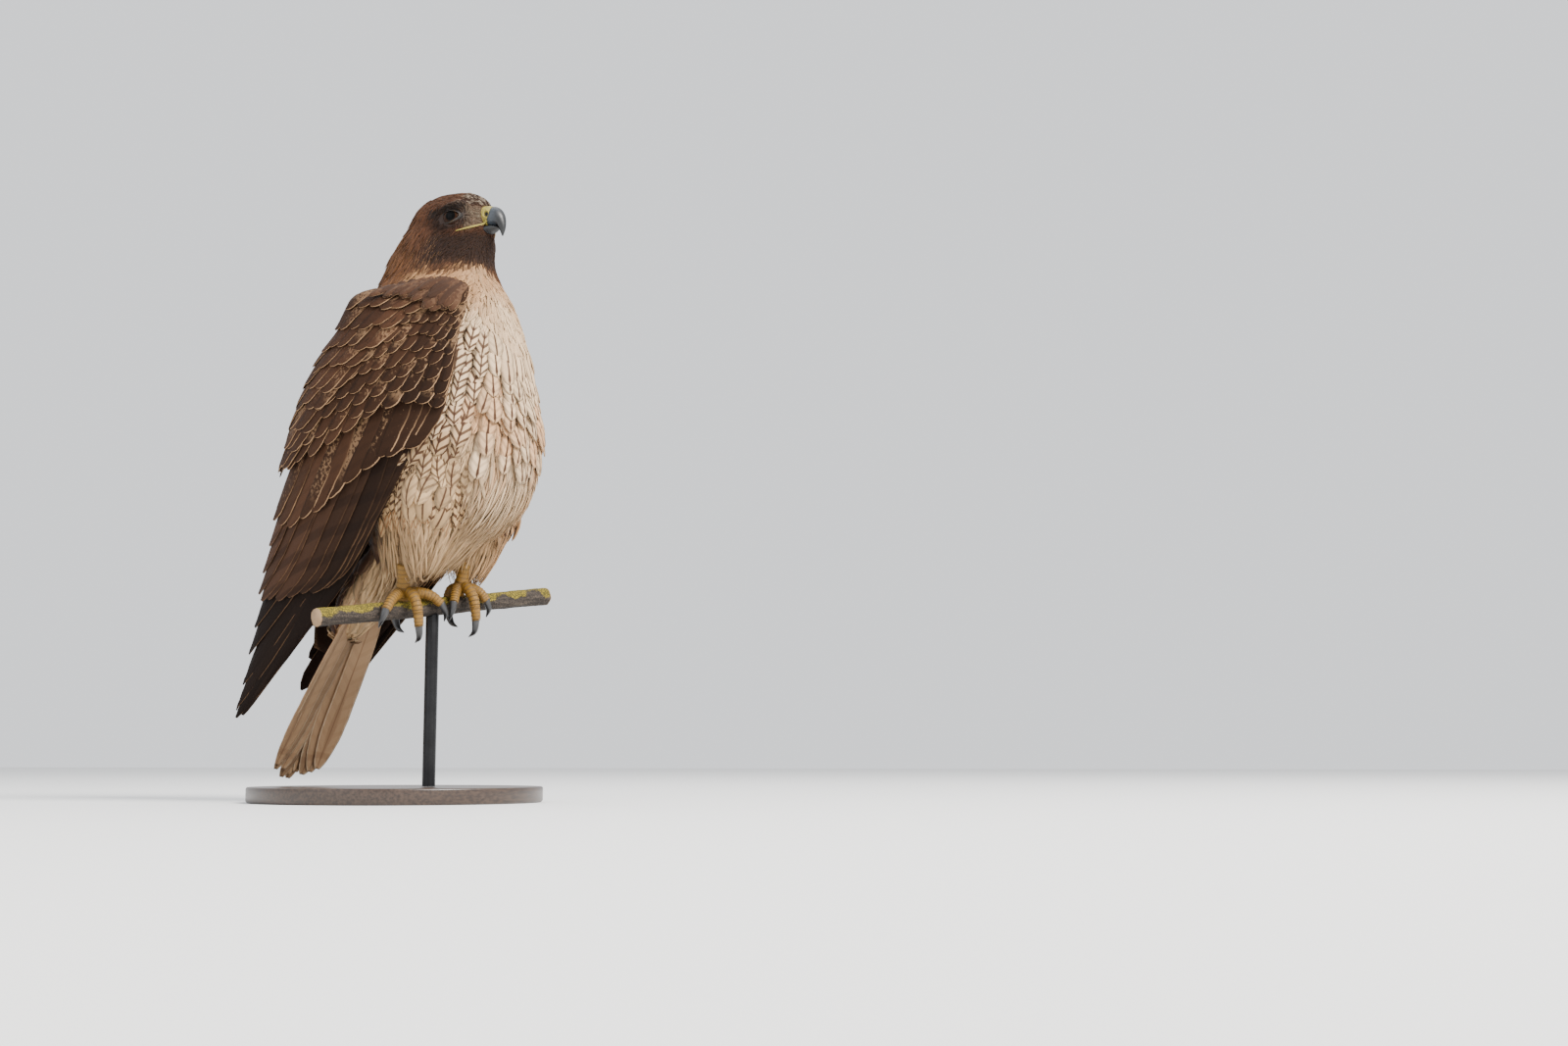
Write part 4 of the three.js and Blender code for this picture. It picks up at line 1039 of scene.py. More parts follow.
def markings(points: Array) -> tuple[Array, Array]:
    """Tint and marks of the coat at places on the bird, the same for skin and feathers.

    Each tint is a mix by smooth steps on how far forward, up and sideways a place is, and on the
    head by its place in the head's own frame; the steps wander by an irregular field.

    Args:
        points: places in millimetres.

    Returns:
        Tints, and marks whose parts are the streak, the bars and a value for chance.
    """
    left, forward, up = points[:, 0], -points[:, 1], points[:, 2]
    wander = ripple(points, 26, 5)
    chance = np.random.default_rng(11).uniform(0, 1, len(points))
    own = HEAD.local(points)
    beside, ahead, above = np.abs(own[:, 0]), own[:, 1], own[:, 2]
    side = np.abs(left)
    _, across = FLANK.spot(forward, up)
    tint = np.broadcast_to(CREAM, points.shape).copy()
    tint = toward(tint, BUFF, ramp(up + 14 * wander, 262, 205) * 0.8)
    flank = flank_share(points)
    belly = ramp(forward, 15, 50) * ramp(np.abs(up - 298 + 14 * wander), 58, 26)
    tint = toward(tint, RUFOUS, belly * ramp(0.5 * ripple(points, 42, 8) + chance, 0.6, 1.2) * 0.45)
    patch = ramp(np.hypot(side - 36, up - 298 + 5 * wander), 24, 8) * ramp(forward, 30, 50)
    tint = toward(tint, RUFOUS, patch * 0.5)
    tint = toward(tint, SIDE_BUFF, ramp(up, 368, 392) * ramp(side, 10, 30) * 0.9)
    tint = toward(tint, SIDE_BUFF, ramp(up, 330, 395) * ramp(ripple(points, 24, 12), 0.1, 0.7) * 0.35)
    barred = side_share(points)
    tint = toward(tint, BUFF, barred * 0.7)
    low_back = ramp(forward + 35 + (188 - up) * 0.77, -2, -14)
    back = np.where(up > 215, ramp(forward + 5 * wander, -4, -26) * ramp(across, -20, -44), low_back)
    back = np.maximum(back, ramp(forward, -22, -36) * ramp(up, 206, 218))
    tint = toward(tint, BACK_BROWN, back * ramp(up, 420, 410))
    collar = 412 - 9 * ramp(forward, 20, -20) - 13 * ramp(left, 0, 22) * ramp(forward, 15, 40)
    collar = collar + 4 * wander + 8 * (chance - 0.5)
    head = ramp(up, collar - 3, collar + 4)
    below = ramp(up, collar - 30, collar - 6) * ramp(forward, -20, 10)
    tint = toward(tint, SIDE_BUFF, below * (0.5 + 0.5 * chance))
    far = ramp(left, 16, 42) * ramp(forward, 0, 30) * (chance > 0.4) * 0.7
    tint = toward(tint, SIDE_BUFF, np.maximum(far, ramp(left, 5, 35) * ramp(up, 305, 270) * 0.6))
    brown = toward(np.broadcast_to(HEAD_BROWN, points.shape), THROAT_BROWN,
                   ramp(ahead, -26, 2) * ramp(above, -8, -16))
    brown = toward(brown, NAPE_BROWN, ramp(ahead, -6, -34) * 0.8)
    brown = toward(brown, NAPE_BROWN, ramp(up, 425, 405) * 0.8)
    crown = ramp(above, 8, 20)
    brown = toward(brown, NAPE_BROWN, crown * 0.4 * chance)
    forehead = ramp(ahead, 15, 23) * ramp(above, 5, 9) * 0.8
    brown = toward(brown, FOREHEAD, forehead * (chance > 0.5))
    brown = toward(brown, THROAT_BROWN, forehead * (chance <= 0.5))
    lore = ramp(ahead, 17.5, 21.5) * ramp(np.abs(above + 1), 9, 5) * ramp(beside, 4, 8)
    brown = toward(brown, LORE_GREY, lore * (0.35 + 0.6 * chance))
    # brow and rim: painted shadow under the brow ridge and round the eye in its socket
    brow = ramp(np.abs(above - 5.8), 4.2, 2.4) * ramp(np.abs(ahead - 8), 17, 11)
    rim = ramp(np.hypot((ahead - EYE_AT[1]) / 9.5, (above - EYE_AT[2]) / 6.2), 1.45, 1.1)
    brown = toward(brown, BROW_AND_EYE_SHADE, np.maximum(brow, rim * 0.75) * ramp(beside, 11, 15))
    behind = ramp(np.hypot(ahead - 4, above + 3), 15, 6) * ramp(beside, 14, 20)
    brown = toward(brown, THROAT_BROWN, behind * 0.7)
    tint = toward(tint, brown, head)
    uneven = 0.14 + 0.16 * head + 0.18 * ramp(up, 285, 240) * (1 - head)
    tint = tint * (1 + uneven * np.random.default_rng(12).uniform(-1, 1, len(points)))[:, None]
    pale = (1 - head) * (1 - back)
    streak = pale * (0.5 + 0.5 * ramp(side, 8, 30)) * ramp(up, 208, 246) + head * 0.4 + back * 0.3
    streak = streak * ramp(ripple(points, 15, 3) + chance, 0.1, 0.7)
    bars = pale * np.maximum(np.maximum(flank, barred), ramp(side, 26, 40) * ramp(up, 265, 235) * 0.55)
    return tint, np.stack([streak, bars, chance], -1)


def flank_share(points: Array) -> Array:
    """How far places belong to the boldly marked flank, before and below the folded wing."""
    side, up = np.abs(points[:, 0]), points[:, 2]
    return ramp(side + 6 * ripple(points, 30, 15), 40, 52) * ramp(up, 374, 352) * ramp(up, 236, 262)


def side_share(points: Array) -> Array:
    """How far places belong to the barred rufous feathers low beside the wing."""
    side, up = np.abs(points[:, 0]) + 5 * ripple(points, 24, 31), points[:, 2]
    return ramp(side, 25, 34) * ramp(up, 300, 282) * ramp(up, 206, 222) * ramp(-points[:, 1], 66, 52)


# How the coat lies: at |left|, forward, up the feathers point along (outwards, forward, up)
LIE = np.array((
    (0, 50, 458, 0, -1, 0.6), (0, 15, 478, 0, -1, 0), (0, -18, 465, 0, -0.5, -1), (8, 45, 448, 0.3, -1, 0),
    (22, 25, 440, 0.1, -0.8, -0.7), (0, 46, 436, 0, -0.3, -1), (0, 46, 420, 0, 0.1, -1),
    (0, -35, 430, 0, -0.35, -1), (33, 5, 425, 0.1, -0.25, -1), (44, 8, 396, 0.15, -0.8, -0.7),
    (0, -55, 395, 0, -0.75, -0.8), (0, -85, 340, 0, -0.3, -1), (0, -85, 280, 0, 0.05, -1),
    (0, -60, 205, 0, -0.45, -0.9),
    (0, 75, 340, 0, 0.1, -1), (0, 82, 270, 0, -0.05, -1), (0, 60, 220, 0, -0.6, -0.8),
    (0, 20, 195, 0, -0.4, -1), (45, 50, 330, 0.1, -0.2, -1), (60, 20, 250, 0, -0.35, -1),
    (50, 20, 225, 0, -0.15, -1), (28, 6, 188, 0, 0, -1), (0, -50, 155, 0, -0.44, -0.9),
), float)
# distance from the root of the bill, length and half width of a feather there
COAT_SIZE = ((0, 2.3, 0.34), (12, 3.6, 0.46), (30, 6.5, 0.78), (60, 10.5, 1.3), (95, 14.5, 1.9),
             (150, 17.5, 2.8), (250, 20, 3.4), (330, 25, 4.4))


def lie_of(points: Array) -> Array:
    """Direction of the coat: the listed ones mixed by the fourth power of nearness.

    Args:
        points: places in millimetres.

    Returns:
        The directions, each one long.
    """
    where = np.stack([np.abs(points[:, 0]), -points[:, 1], points[:, 2]], -1)
    square = ((where[:, None] - LIE[None, :, :3]) ** 2).sum(-1)
    weight = 1 / (square + 60) ** 2
    mixed = unit((weight[..., None] * unit(LIE[None, :, 3:])).sum(1))
    eye = where * np.array((1, -1, 1)) - HEAD.point(EYE_AT[0] + 7, EYE_AT[1], EYE_AT[2])
    away = ramp(np.linalg.norm(eye, axis=-1), 15, 8)[:, None] * 1.2
    mixed = mixed + unit(eye) * np.array((1, -1, 1)) * away
    return unit(np.stack([mixed[:, 0] * np.sign(points[:, 0]), -mixed[:, 1], mixed[:, 2]], -1))


# rings of a wide and of a narrow blade by share along it, and their points: place across, height
WIDE_SHARES, NARROW_SHARES = (0.0, 0.18, 0.38, 0.58, 0.76, 0.9, 1.0), (0.0, 0.25, 0.5, 0.72, 0.9, 1.0)
WIDE_RING = ((-1, 0), (-0.5, 0.16), (0, 0.24), (0.5, 0.16), (1, 0), (0, -0.05))
NARROW_RING = ((-1, 0), (0, 0.24), (1, 0), (0, -0.05))


@dataclass
class Coat:
    """The skin over all the flesh, and the small feathers that lie along it."""

    depths: dict[str, float] = field(default_factory=lambda: {
        "body": 4.2, "head": 1.3, "thigh": 5.0, "tail": 4.0})
    voxel: float = 2.2
    smoothing: int = 6
    layers: float = 5.0
    seed: int = 41
    under_wing: float = 17.0
    free_hang: float = 0.9
    column_count: int = 7
    column_length: int = 14
    column_top: float = 371
    column_step: float = 10.5
    column_feather: tuple[float, float] = (25, 6.8)
    column_lift: float = 0.7
    cape_feather: tuple[float, float] = (20, 4.8)
    nodes: tuple[str, ...] = ("torso", "neck", "head", "thigh_right", "thigh_left", "tail_coverts")

    def flesh(self) -> Mesh:
        """Closed forms of body, head, brows, thighs and root of the tail, inside the solids.

        Returns:
            The forms as one mesh.
        """
        solids = {"body": BODY, "head": HEAD, "tail": COVERTS}
        forms = [form.solid(self.depths[part]) for part, form in solids.items()]
        forms.append(HEAD.ball((0, 21.5, 9), (8, 8.5, 8.2)))
        for side in Side:
            brow = side.value * (HEAD.cheek(9.0, 6.6) - 3.6)
            forms.append(HEAD.ball((brow, 8.5, 7.6), (5.4, 14.5, 3.0)))
            stagger = FOOT_STAGGER * side.value
            points = [place(side.value * l, f + stagger * (1 - (u - 186) / 76), u) for l, f, u, _ in THIGH]
            radii = [r - self.depths["thigh"] for *_, r in THIGH]
            forms.append(limb(np.array(points), radii, 40, 48))
        return together(forms)

    def skin(self, shop: Workshop) -> tuple[Array, Array]:
        """Fuse the flesh by a voxel grid, smooth it and make it the skin.

        Args:
            shop: makes the piece.

        Returns:
            Points in millimetres, and triangles.
        """
        raw = self.flesh()
        data = bpy.data.meshes.new("flesh")
        data.from_pydata((raw.points * MM).tolist(), [], [f.tolist() for q in raw.faces for f in q])
        rough = show("flesh", data)
        fuse = rough.modifiers.new("fuse", "REMESH")
        fuse.mode, fuse.voxel_size = "VOXEL", self.voxel * MM
        relax = rough.modifiers.new("relax", "SMOOTH")
        relax.factor, relax.iterations = 0.5, self.smoothing
        fused = bpy.data.meshes.new_from_object(rough.evaluated_get(bpy.context.evaluated_depsgraph_get()))
        bpy.data.objects.remove(rough)
        points = np.zeros(len(fused.vertices) * 3)
        fused.vertices.foreach_get("co", points)
        points = points.reshape(-1, 3) / MM
        fused.calc_loop_triangles()
        triangles = np.zeros(len(fused.loop_triangles) * 3, int)
        fused.loop_triangles.foreach_get("vertices", triangles)
        triangles = triangles.reshape(-1, 3)
        bpy.data.meshes.remove(fused)
        tint, marks = markings(points)
        spots = unwrap(points)
        shop.piece("skin", Mesh(points, [triangles], spots, spots, tint, marks), SKIN, *self.nodes)
        return points, triangles

    def sizes(self, points: Array) -> tuple[Array, Array]:
        """Length and half width of the feathers at places: by distance from the bill, and by region.

        Args:
            points: places in millimetres.

        Returns:
            The lengths and half widths.
        """
        reach = np.linalg.norm(points - HEAD.point(*BILL_BASE), axis=-1)
        length, half = np.moveaxis(along(COAT_SIZE, reach), -1, 0)
        forward, up = -points[:, 1], points[:, 2]
        back = ramp(forward, -6, -30) * ramp(up, 425, 398) * ramp(up, 180, 215)
        flank = flank_share(points)
        fine = ramp(up, 292, 246) * ramp(forward, -45, -25) * (1 - flank) * (1 - side_share(points))
        hang = ramp(up, 225, 212) * ramp(up, 194, 204) * ramp(forward, -10, 5)
        short = fine * ramp(up, 206, 194)
        nape = ramp(HEAD.local(points)[:, 1], -2, -25) * ramp(up, 396, 412)
        longer = 0.15 * back + 0.8 * fine + 0.15 * hang - 0.75 * short + 0.1 * flank + 0.5 * nape
        length = length * (1 + longer)
        return length, half * (1 + 0.9 * back) * (1 - 0.78 * fine) * (1 + 0.2 * flank) * (1 - 0.2 * nape)

    def roots(self, points: Array, triangles: Array) -> Array:
        """Scatter roots over the skin, no two nearer than their size asks.

        Args:
            points: points of the skin.
            triangles: its triangles.

        Returns:
            The roots.
        """
        draw = np.random.default_rng(self.seed)
        a, b, c = (points[triangles[:, i]] for i in range(3))
        area = np.linalg.norm(np.cross(b - a, c - a), axis=-1) / 2
        middle = (a + b + c) / 3
        length, half = self.sizes(middle)
        dense = 1 + 0.6 * ramp(HEAD.local(middle)[:, 1], 2, -16) * ramp(middle[:, 2], 396, 412)
        want = np.sqrt(length * half / (self.layers * dense))
        crowd = area / want ** 2 * 2.6 * self.shows(middle)
        count = draw.poisson(crowd)
        pick = np.repeat(np.arange(len(triangles)), count)
        draw.shuffle(pick)
        u, v = draw.uniform(0, 1, (2, len(pick)))
        flip = u + v > 1
        u, v = np.where(flip, 1 - u, u), np.where(flip, 1 - v, v)
        spots = a[pick] + (b - a)[pick] * u[:, None] + (c - a)[pick] * v[:, None]
        return spots[spaced(spots, want[pick])]

    def columns(self, tree: BVHTree) -> tuple[Array, Array]:
        """Roots of the boldly marked feathers, one under the other down the lie of the coat.

        Args:
            tree: the skin.

        Returns:
            The roots, and for each the share of the way from the wing to the middle of the breast.
        """
        share = np.linspace(0, 1, self.column_count)
        out, ahead, top = 60 - 57 * share, 60 + 21 * share, self.column_top - 26 * share
        starts = [place(side.value * out, ahead, top) for side in Side]
        here, _ = nearest(tree, np.concatenate(starts))
        roots = []
        draw = np.random.default_rng(self.seed)
        for _ in range(self.column_length):
            roots.append(here + draw.normal(0, 0.9, here.shape))
            here, _ = nearest(tree, here + lie_of(here) * self.column_step)
        return np.concatenate(roots), np.tile(share, len(Side) * self.column_length)

    def shows(self, points: Array) -> Array:
        """Where the coat grows: not deep under a wing, on an eye, or under the cere.

        Args:
            points: places in millimetres.

        Returns:
            True where it grows.
        """
        inside = FLANK.inside(-points[:, 1], points[:, 2])
        free = (inside < self.under_wing) | (np.abs(points[:, 0]) < 8)
        own = HEAD.local(points)
        for side in Side:
            offset = own - np.array((side.value * EYE_AT[0], *EYE_AT[1:]))
            near = np.abs(own[:, 0] - side.value * 24) < 12
            free &= ~(near & (np.hypot((offset[:, 1] - 0.6) / 9.3, offset[:, 2] / 5.9) < 1))
        free &= ~((points[:, 2] < 192) & (-points[:, 1] > -12))
        mouth = (own[:, 1] > 29.5) & (own[:, 2] > -13.6) & (own[:, 2] < 9)
        gape = np.abs(own[:, 2] - along(GAPE, own[:, 1])) < 1.2
        return free & ~mouth & ~(gape & (own[:, 1] > GAPE[0][0]) & (np.abs(own[:, 0]) > 5))

    def feathers(self, shop: Workshop) -> None:
        """Lay the feathers of every region over the skin.

        Args:
            shop: makes the pieces.
        """
        points, triangles = self.skin(shop)
        tree = BVHTree.FromPolygons(points.tolist(), triangles.tolist())
        roots = self.roots(points, triangles)
        own = HEAD.local(roots)
        forward, up = -roots[:, 1], roots[:, 2]
        tint, marks = markings(roots)
        leg = up < 232 - 0.25 * np.maximum(forward, 0)
        head = (up > 390) & (tint[:, 0] < 0.34)
        mantle = (forward < 0) & (tint[:, 0] < 0.11) & (up < 410)
        head, leg = head & ~mantle, leg & ~mantle
        border = 7 * ripple(roots, 18, 21) + 10 * (marks[:, 2] - 0.5)
        nape = head & (own[:, 1] <= border) & ((own[:, 2] <= -14 + border) | (own[:, 1] < -24 + border))
        flank = (flank_share(roots) > 0.5) & ~head & ~leg & ~mantle
        rest = ~(head | leg | flank | mantle)
        barred = side_share(roots) > 0.35
        groups = {
            "face": (head & ~nape & (own[:, 1] > 2), HEAD_FEATHER),
            "crown": (head & ~nape & (own[:, 1] <= 2), HEAD_FEATHER),
            "nape": (nape, NAPE_FEATHER), "mantle": (mantle, MANTLE_FEATHER),
            "flanks": (flank, FLANK_FEATHER),
            "breast": (rest & (up > 290), BODY_FEATHER),
            "belly": (rest & ~barred & (up <= 290), BODY_FEATHER),
            "sides": (rest & barred & (up <= 290), SIDE_FEATHER), "trousers": (leg, LEG_FEATHER),
        }
        raised = np.where(nape, 0.9 * ramp(own[:, 1], 6, -16), ramp(own[:, 1], 4, -20) * 1.9) * head
        front = flank_share(roots) * ramp(forward, 20, 40)
        marks[:, :2] *= 1 - front[:, None]
        for number, (name, (chosen, finish)) in enumerate(groups.items()):
            wide = name in ("breast", "flanks", "sides", "mantle")
            mesh = self.blades(tree, roots[chosen], tint[chosen], marks[chosen], wide, self.seed + number,
                               lift=raised[chosen, None])
            shop.piece(f"feathers_{name}", mesh, finish)
        spots, share = self.columns(tree)
        grown = self.shows(spots) & (spots[:, 2] > 262 - 40 * ramp(share, 0.5, 0.3))
        spots, share = spots[grown], share[grown]
        tint, marks = markings(spots)
        drops = ramp(share, 0.2, 0.5) * ramp(spots[:, 2], 365, 345)
        bars = np.maximum(ramp(share, 0.6, 0.3), 0.35 * ramp(spots[:, 2], 345, 325))
        marks = np.stack([drops, bars * ramp(spots[:, 2], 225, 275), 0.2 + 0.25 * marks[:, 2]], -1)
        mesh = self.blades(tree, spots, tint, marks, True, self.seed - 1, self.column_feather,
                           self.column_lift)
        shop.piece("feathers_fishbone", mesh, FLANK_FEATHER)
        shop.piece("feathers_cape", self.cape(points, triangles), MANTLE_FEATHER)

    def cape(self, points: Array, triangles: Array) -> Mesh:
        """Feathers that flow from the neck over the top of each wing.

        Args:
            points: points of the skin.
            triangles: its triangles.

        Returns:
            The feathers, three rows a wing, lying on the skin and on the wing's outer side.
        """
        top_edge = ((0, -3, -16), (0.4, -1, -32), (0.7, 8, -50), (1, 34, -82))
        solids, roots = [(points, triangles.tolist())], []
        for side in Side:
            down, share = net(np.linspace(-6, 90, 40), np.linspace(0, 1, 30))
            back, front = along(FLANK.back_edge, down), along(FLANK.front_edge, down)
            shell = FLANK.point(side, down, back + (front - back) * share, 1.2).reshape(-1, 3)
            quads = grid_quads(40, 30, False)
            a, b, c = (shell[quads[:, i]] for i in range(3))
            inwards = np.cross(b - a, c - a)[:, 0].sum() * side.value < 0
            solids.append((shell, (quads[:, ::-1] if inwards else quads).tolist()))
            for row in (1.4, 0.7, 0.0, -0.7):
                edge = along(top_edge, np.linspace(0, 0.84, 14) + 0.03 * row)
                roots.append(FLANK.point(side, edge[:, 0] - 6 * row, edge[:, 1] + 3 * row, 0.3))
        start = np.cumsum([0] + [len(spots) for spots, _ in solids])
        faces = [[i + shift for i in face] for (_, group), shift in zip(solids, start) for face in group]
        tree = BVHTree.FromPolygons(np.concatenate([spots for spots, _ in solids]).tolist(), faces)
        roots = np.concatenate(roots)
        chance = np.random.default_rng(self.seed).uniform(0, 1, len(roots))
        marks = np.stack([*np.zeros((2, len(roots))), chance], -1)
        tint = toward(np.broadcast_to(BACK_BROWN, roots.shape), NAPE_BROWN, 0.3 * chance)
        return self.blades(tree, roots, tint, marks, True, self.seed - 2, self.cape_feather, 0.3)

    def blades(self, tree: BVHTree, roots: Array, tint: Array, marks: Array, wide: bool, seed: int,
               size: tuple[float, float] | None = None, lift: Array | float = 0) -> Mesh:
        """Thin blades from roots, each ring of points carried down the lie of the coat on the skin.

        A ring is a flat lens: the upper side arched over the shaft, one point below it. The width
        rises as a quarter sine to the middle of the blade and falls as a quarter circle to its tip.

        Args:
            tree: the skin, to set each ring on.
            roots: where the feathers grow.
            tint: colour of each.
            marks: marks of each.
            wide: whether the upper side has five points rather than three.
            seed: for the small differences from feather to feather.
            size: length and half width of the blades; by their places if None.
            lift: extra height of the blades over the skin.

        Returns:
            The blades as one mesh.
        """
        draw = np.random.default_rng(seed)
        n = len(roots)
        even = size is not None
        length, half = size or self.sizes(roots)
        length = length * draw.uniform(*((0.88, 1.12) if even else (0.8, 1.25)), n)
        half = half * draw.uniform(0.86, 1.14, n)
        share = np.array(WIDE_SHARES if wide else NARROW_SHARES)
        end = np.maximum((share - 0.5) / 0.51, 0)
        outline = np.minimum(0.35 + 0.65 * np.sin(np.minimum(share, 0.5) * math.pi),
                             np.sqrt(1 - end ** 2) if wide else 1 - end ** 1.6)
        ahead = lie_of(roots)
        loose = (0.55 * ramp(roots[:, 2], 222, 200) * ramp(-roots[:, 1], -40, -15))[:, None]
        stray = draw.normal(0, 0.12 if wide and not even else 0.07, n)
        spots, outs = [roots], []
        here = roots
        for step in np.diff(share, append=share[-1]):
            ground, normal = nearest(tree, here)
            outs.append(normal)
            lean = (ahead * normal).sum(-1, keepdims=True)
            ahead = unit(ahead - normal * np.where(lean > 0, lean * (1 - loose), lean))
            turned = unit(ahead + np.cross(normal, ahead) * stray[:, None])
            over = np.maximum(((here - ground) * normal).sum(-1, keepdims=True), 0)
            here = ground + normal * over * self.free_hang + turned * (length * step)[:, None]
            spots.append(here)
            ahead = lie_of(here) * 0.5 + turned * 0.5
        line = np.stack(spots[:len(share)], 1)
        normal = unit(np.stack(outs, 1))
        way = unit(np.gradient(line, axis=1))
        beside = unit(np.cross(way, normal))
        ruffled = ramp(-roots[:, 1], 50, 72) * ramp(roots[:, 2], 350, 315)
        rise = draw.uniform(0.02, 0.11, n) * (1 if wide else 0.6) * (1 + 1.3 * ruffled)
        uneven = draw.uniform(0, 0.5, n)[:, None]
        stand = length[:, None] * (0.02 + rise[:, None] * share ** 1.3) + uneven + lift
        stand[:, 0] = -0.5
        line = line + normal * stand[..., None]
        across, arch = np.array(WIDE_RING if wide else NARROW_RING, float).T
        reach = half[:, None] * outline
        thick = np.minimum(reach, 0.45)
        below = thick[..., None] * (across == 0) * (arch < 0)
        rings = (line[:, :, None] + beside[:, :, None] * (reach[..., None] * across)[..., None]
                 + normal[:, :, None] * (reach[..., None] * arch - below)[..., None])
        return many(rings, across, share, tint, marks, unwrap(roots))


def many(rings: Array, across: Array, share: Array, tint: Array, marks: Array, spot: Array,
         patch: float = 0.003) -> Mesh:
    """Many closed tubes of like form as one mesh.

    Args:
        rings: points by tube, ring and place round it.
        across: place across the vane of each point of a ring.
        share: share along the vane of each ring.
        tint: colour of each tube.
        marks: marks of each.
        spot: place of each on the bake's map.
        patch: size of each there.

    Returns:
        The mesh.
    """
    n, r, m = rings.shape[:3]
    one = [grid_quads(r, m, True), np.arange(m)[None, ::-1], np.arange(m)[None] + (r - 1) * m]
    shift = (np.arange(n) * r * m)[:, None, None]
    faces = [(f[None] + shift).reshape(-1, f.shape[1]) for f in one]
    y, x = net(share, (across + 1) / 2)
    vane = np.stack([x, y], -1).reshape(1, -1, 2)
    bake = spot[:, None] + (vane - 0.5) * patch
    vane = np.broadcast_to(vane, (n, r * m, 2)).reshape(-1, 2)
    return Mesh(rings.reshape(-1, 3), faces, vane, bake.reshape(-1, 2),
                np.repeat(tint, r * m, 0), np.repeat(marks, r * m, 0))


def unwrap(points: Array) -> Array:
    """The skin unrolled round an upright axis: angle against height."""
    angle = np.arctan2(points[:, 0], -points[:, 1]) / TURN + 0.5
    return np.stack([angle * 0.98 + 0.01, 0.01 + 0.98 * (points[:, 2] - 100) / 390], -1)


def nearest(tree: BVHTree, points: Array) -> tuple[Array, Array]:
    """Nearest places of a surface to points, and its normals there."""
    found = [tree.find_nearest(p) for p in points.tolist()]
    return np.array([f[0] for f in found]), np.array([f[1] for f in found])


def spaced(points: Array, gaps: Array) -> Array:
    """Indices of points kept so that none lies within its gap of one kept before it.

    Args:
        points: places in the order in which they are tried.
        gaps: the least distance of each.

    Returns:
        The indices.
    """
    cell = float(gaps.max())
    keys = np.floor(points / cell).astype(int)
    grid: dict[tuple[int, ...], list[int]] = {}
    kept = []
    near = [(i, j, k) for i in (-1, 0, 1) for j in (-1, 0, 1) for k in (-1, 0, 1)]
    spots = points.tolist()
    for i, (key, gap) in enumerate(zip(map(tuple, keys.tolist()), gaps.tolist())):
        x, y, z = spots[i]
        square = gap * gap
        close = any(
            (spots[j][0] - x) ** 2 + (spots[j][1] - y) ** 2 + (spots[j][2] - z) ** 2 < square
            for d in near for j in grid.get((key[0] + d[0], key[1] + d[1], key[2] + d[2]), ())
        )
        if not close:
            grid.setdefault(key, []).append(i)
            kept.append(i)
    return np.array(kept)


# Vanes of wings and tail

VANE_OUTLINE = ((0, 0.45), (0.3, 1), (0.75, 1), (1, 0.78))


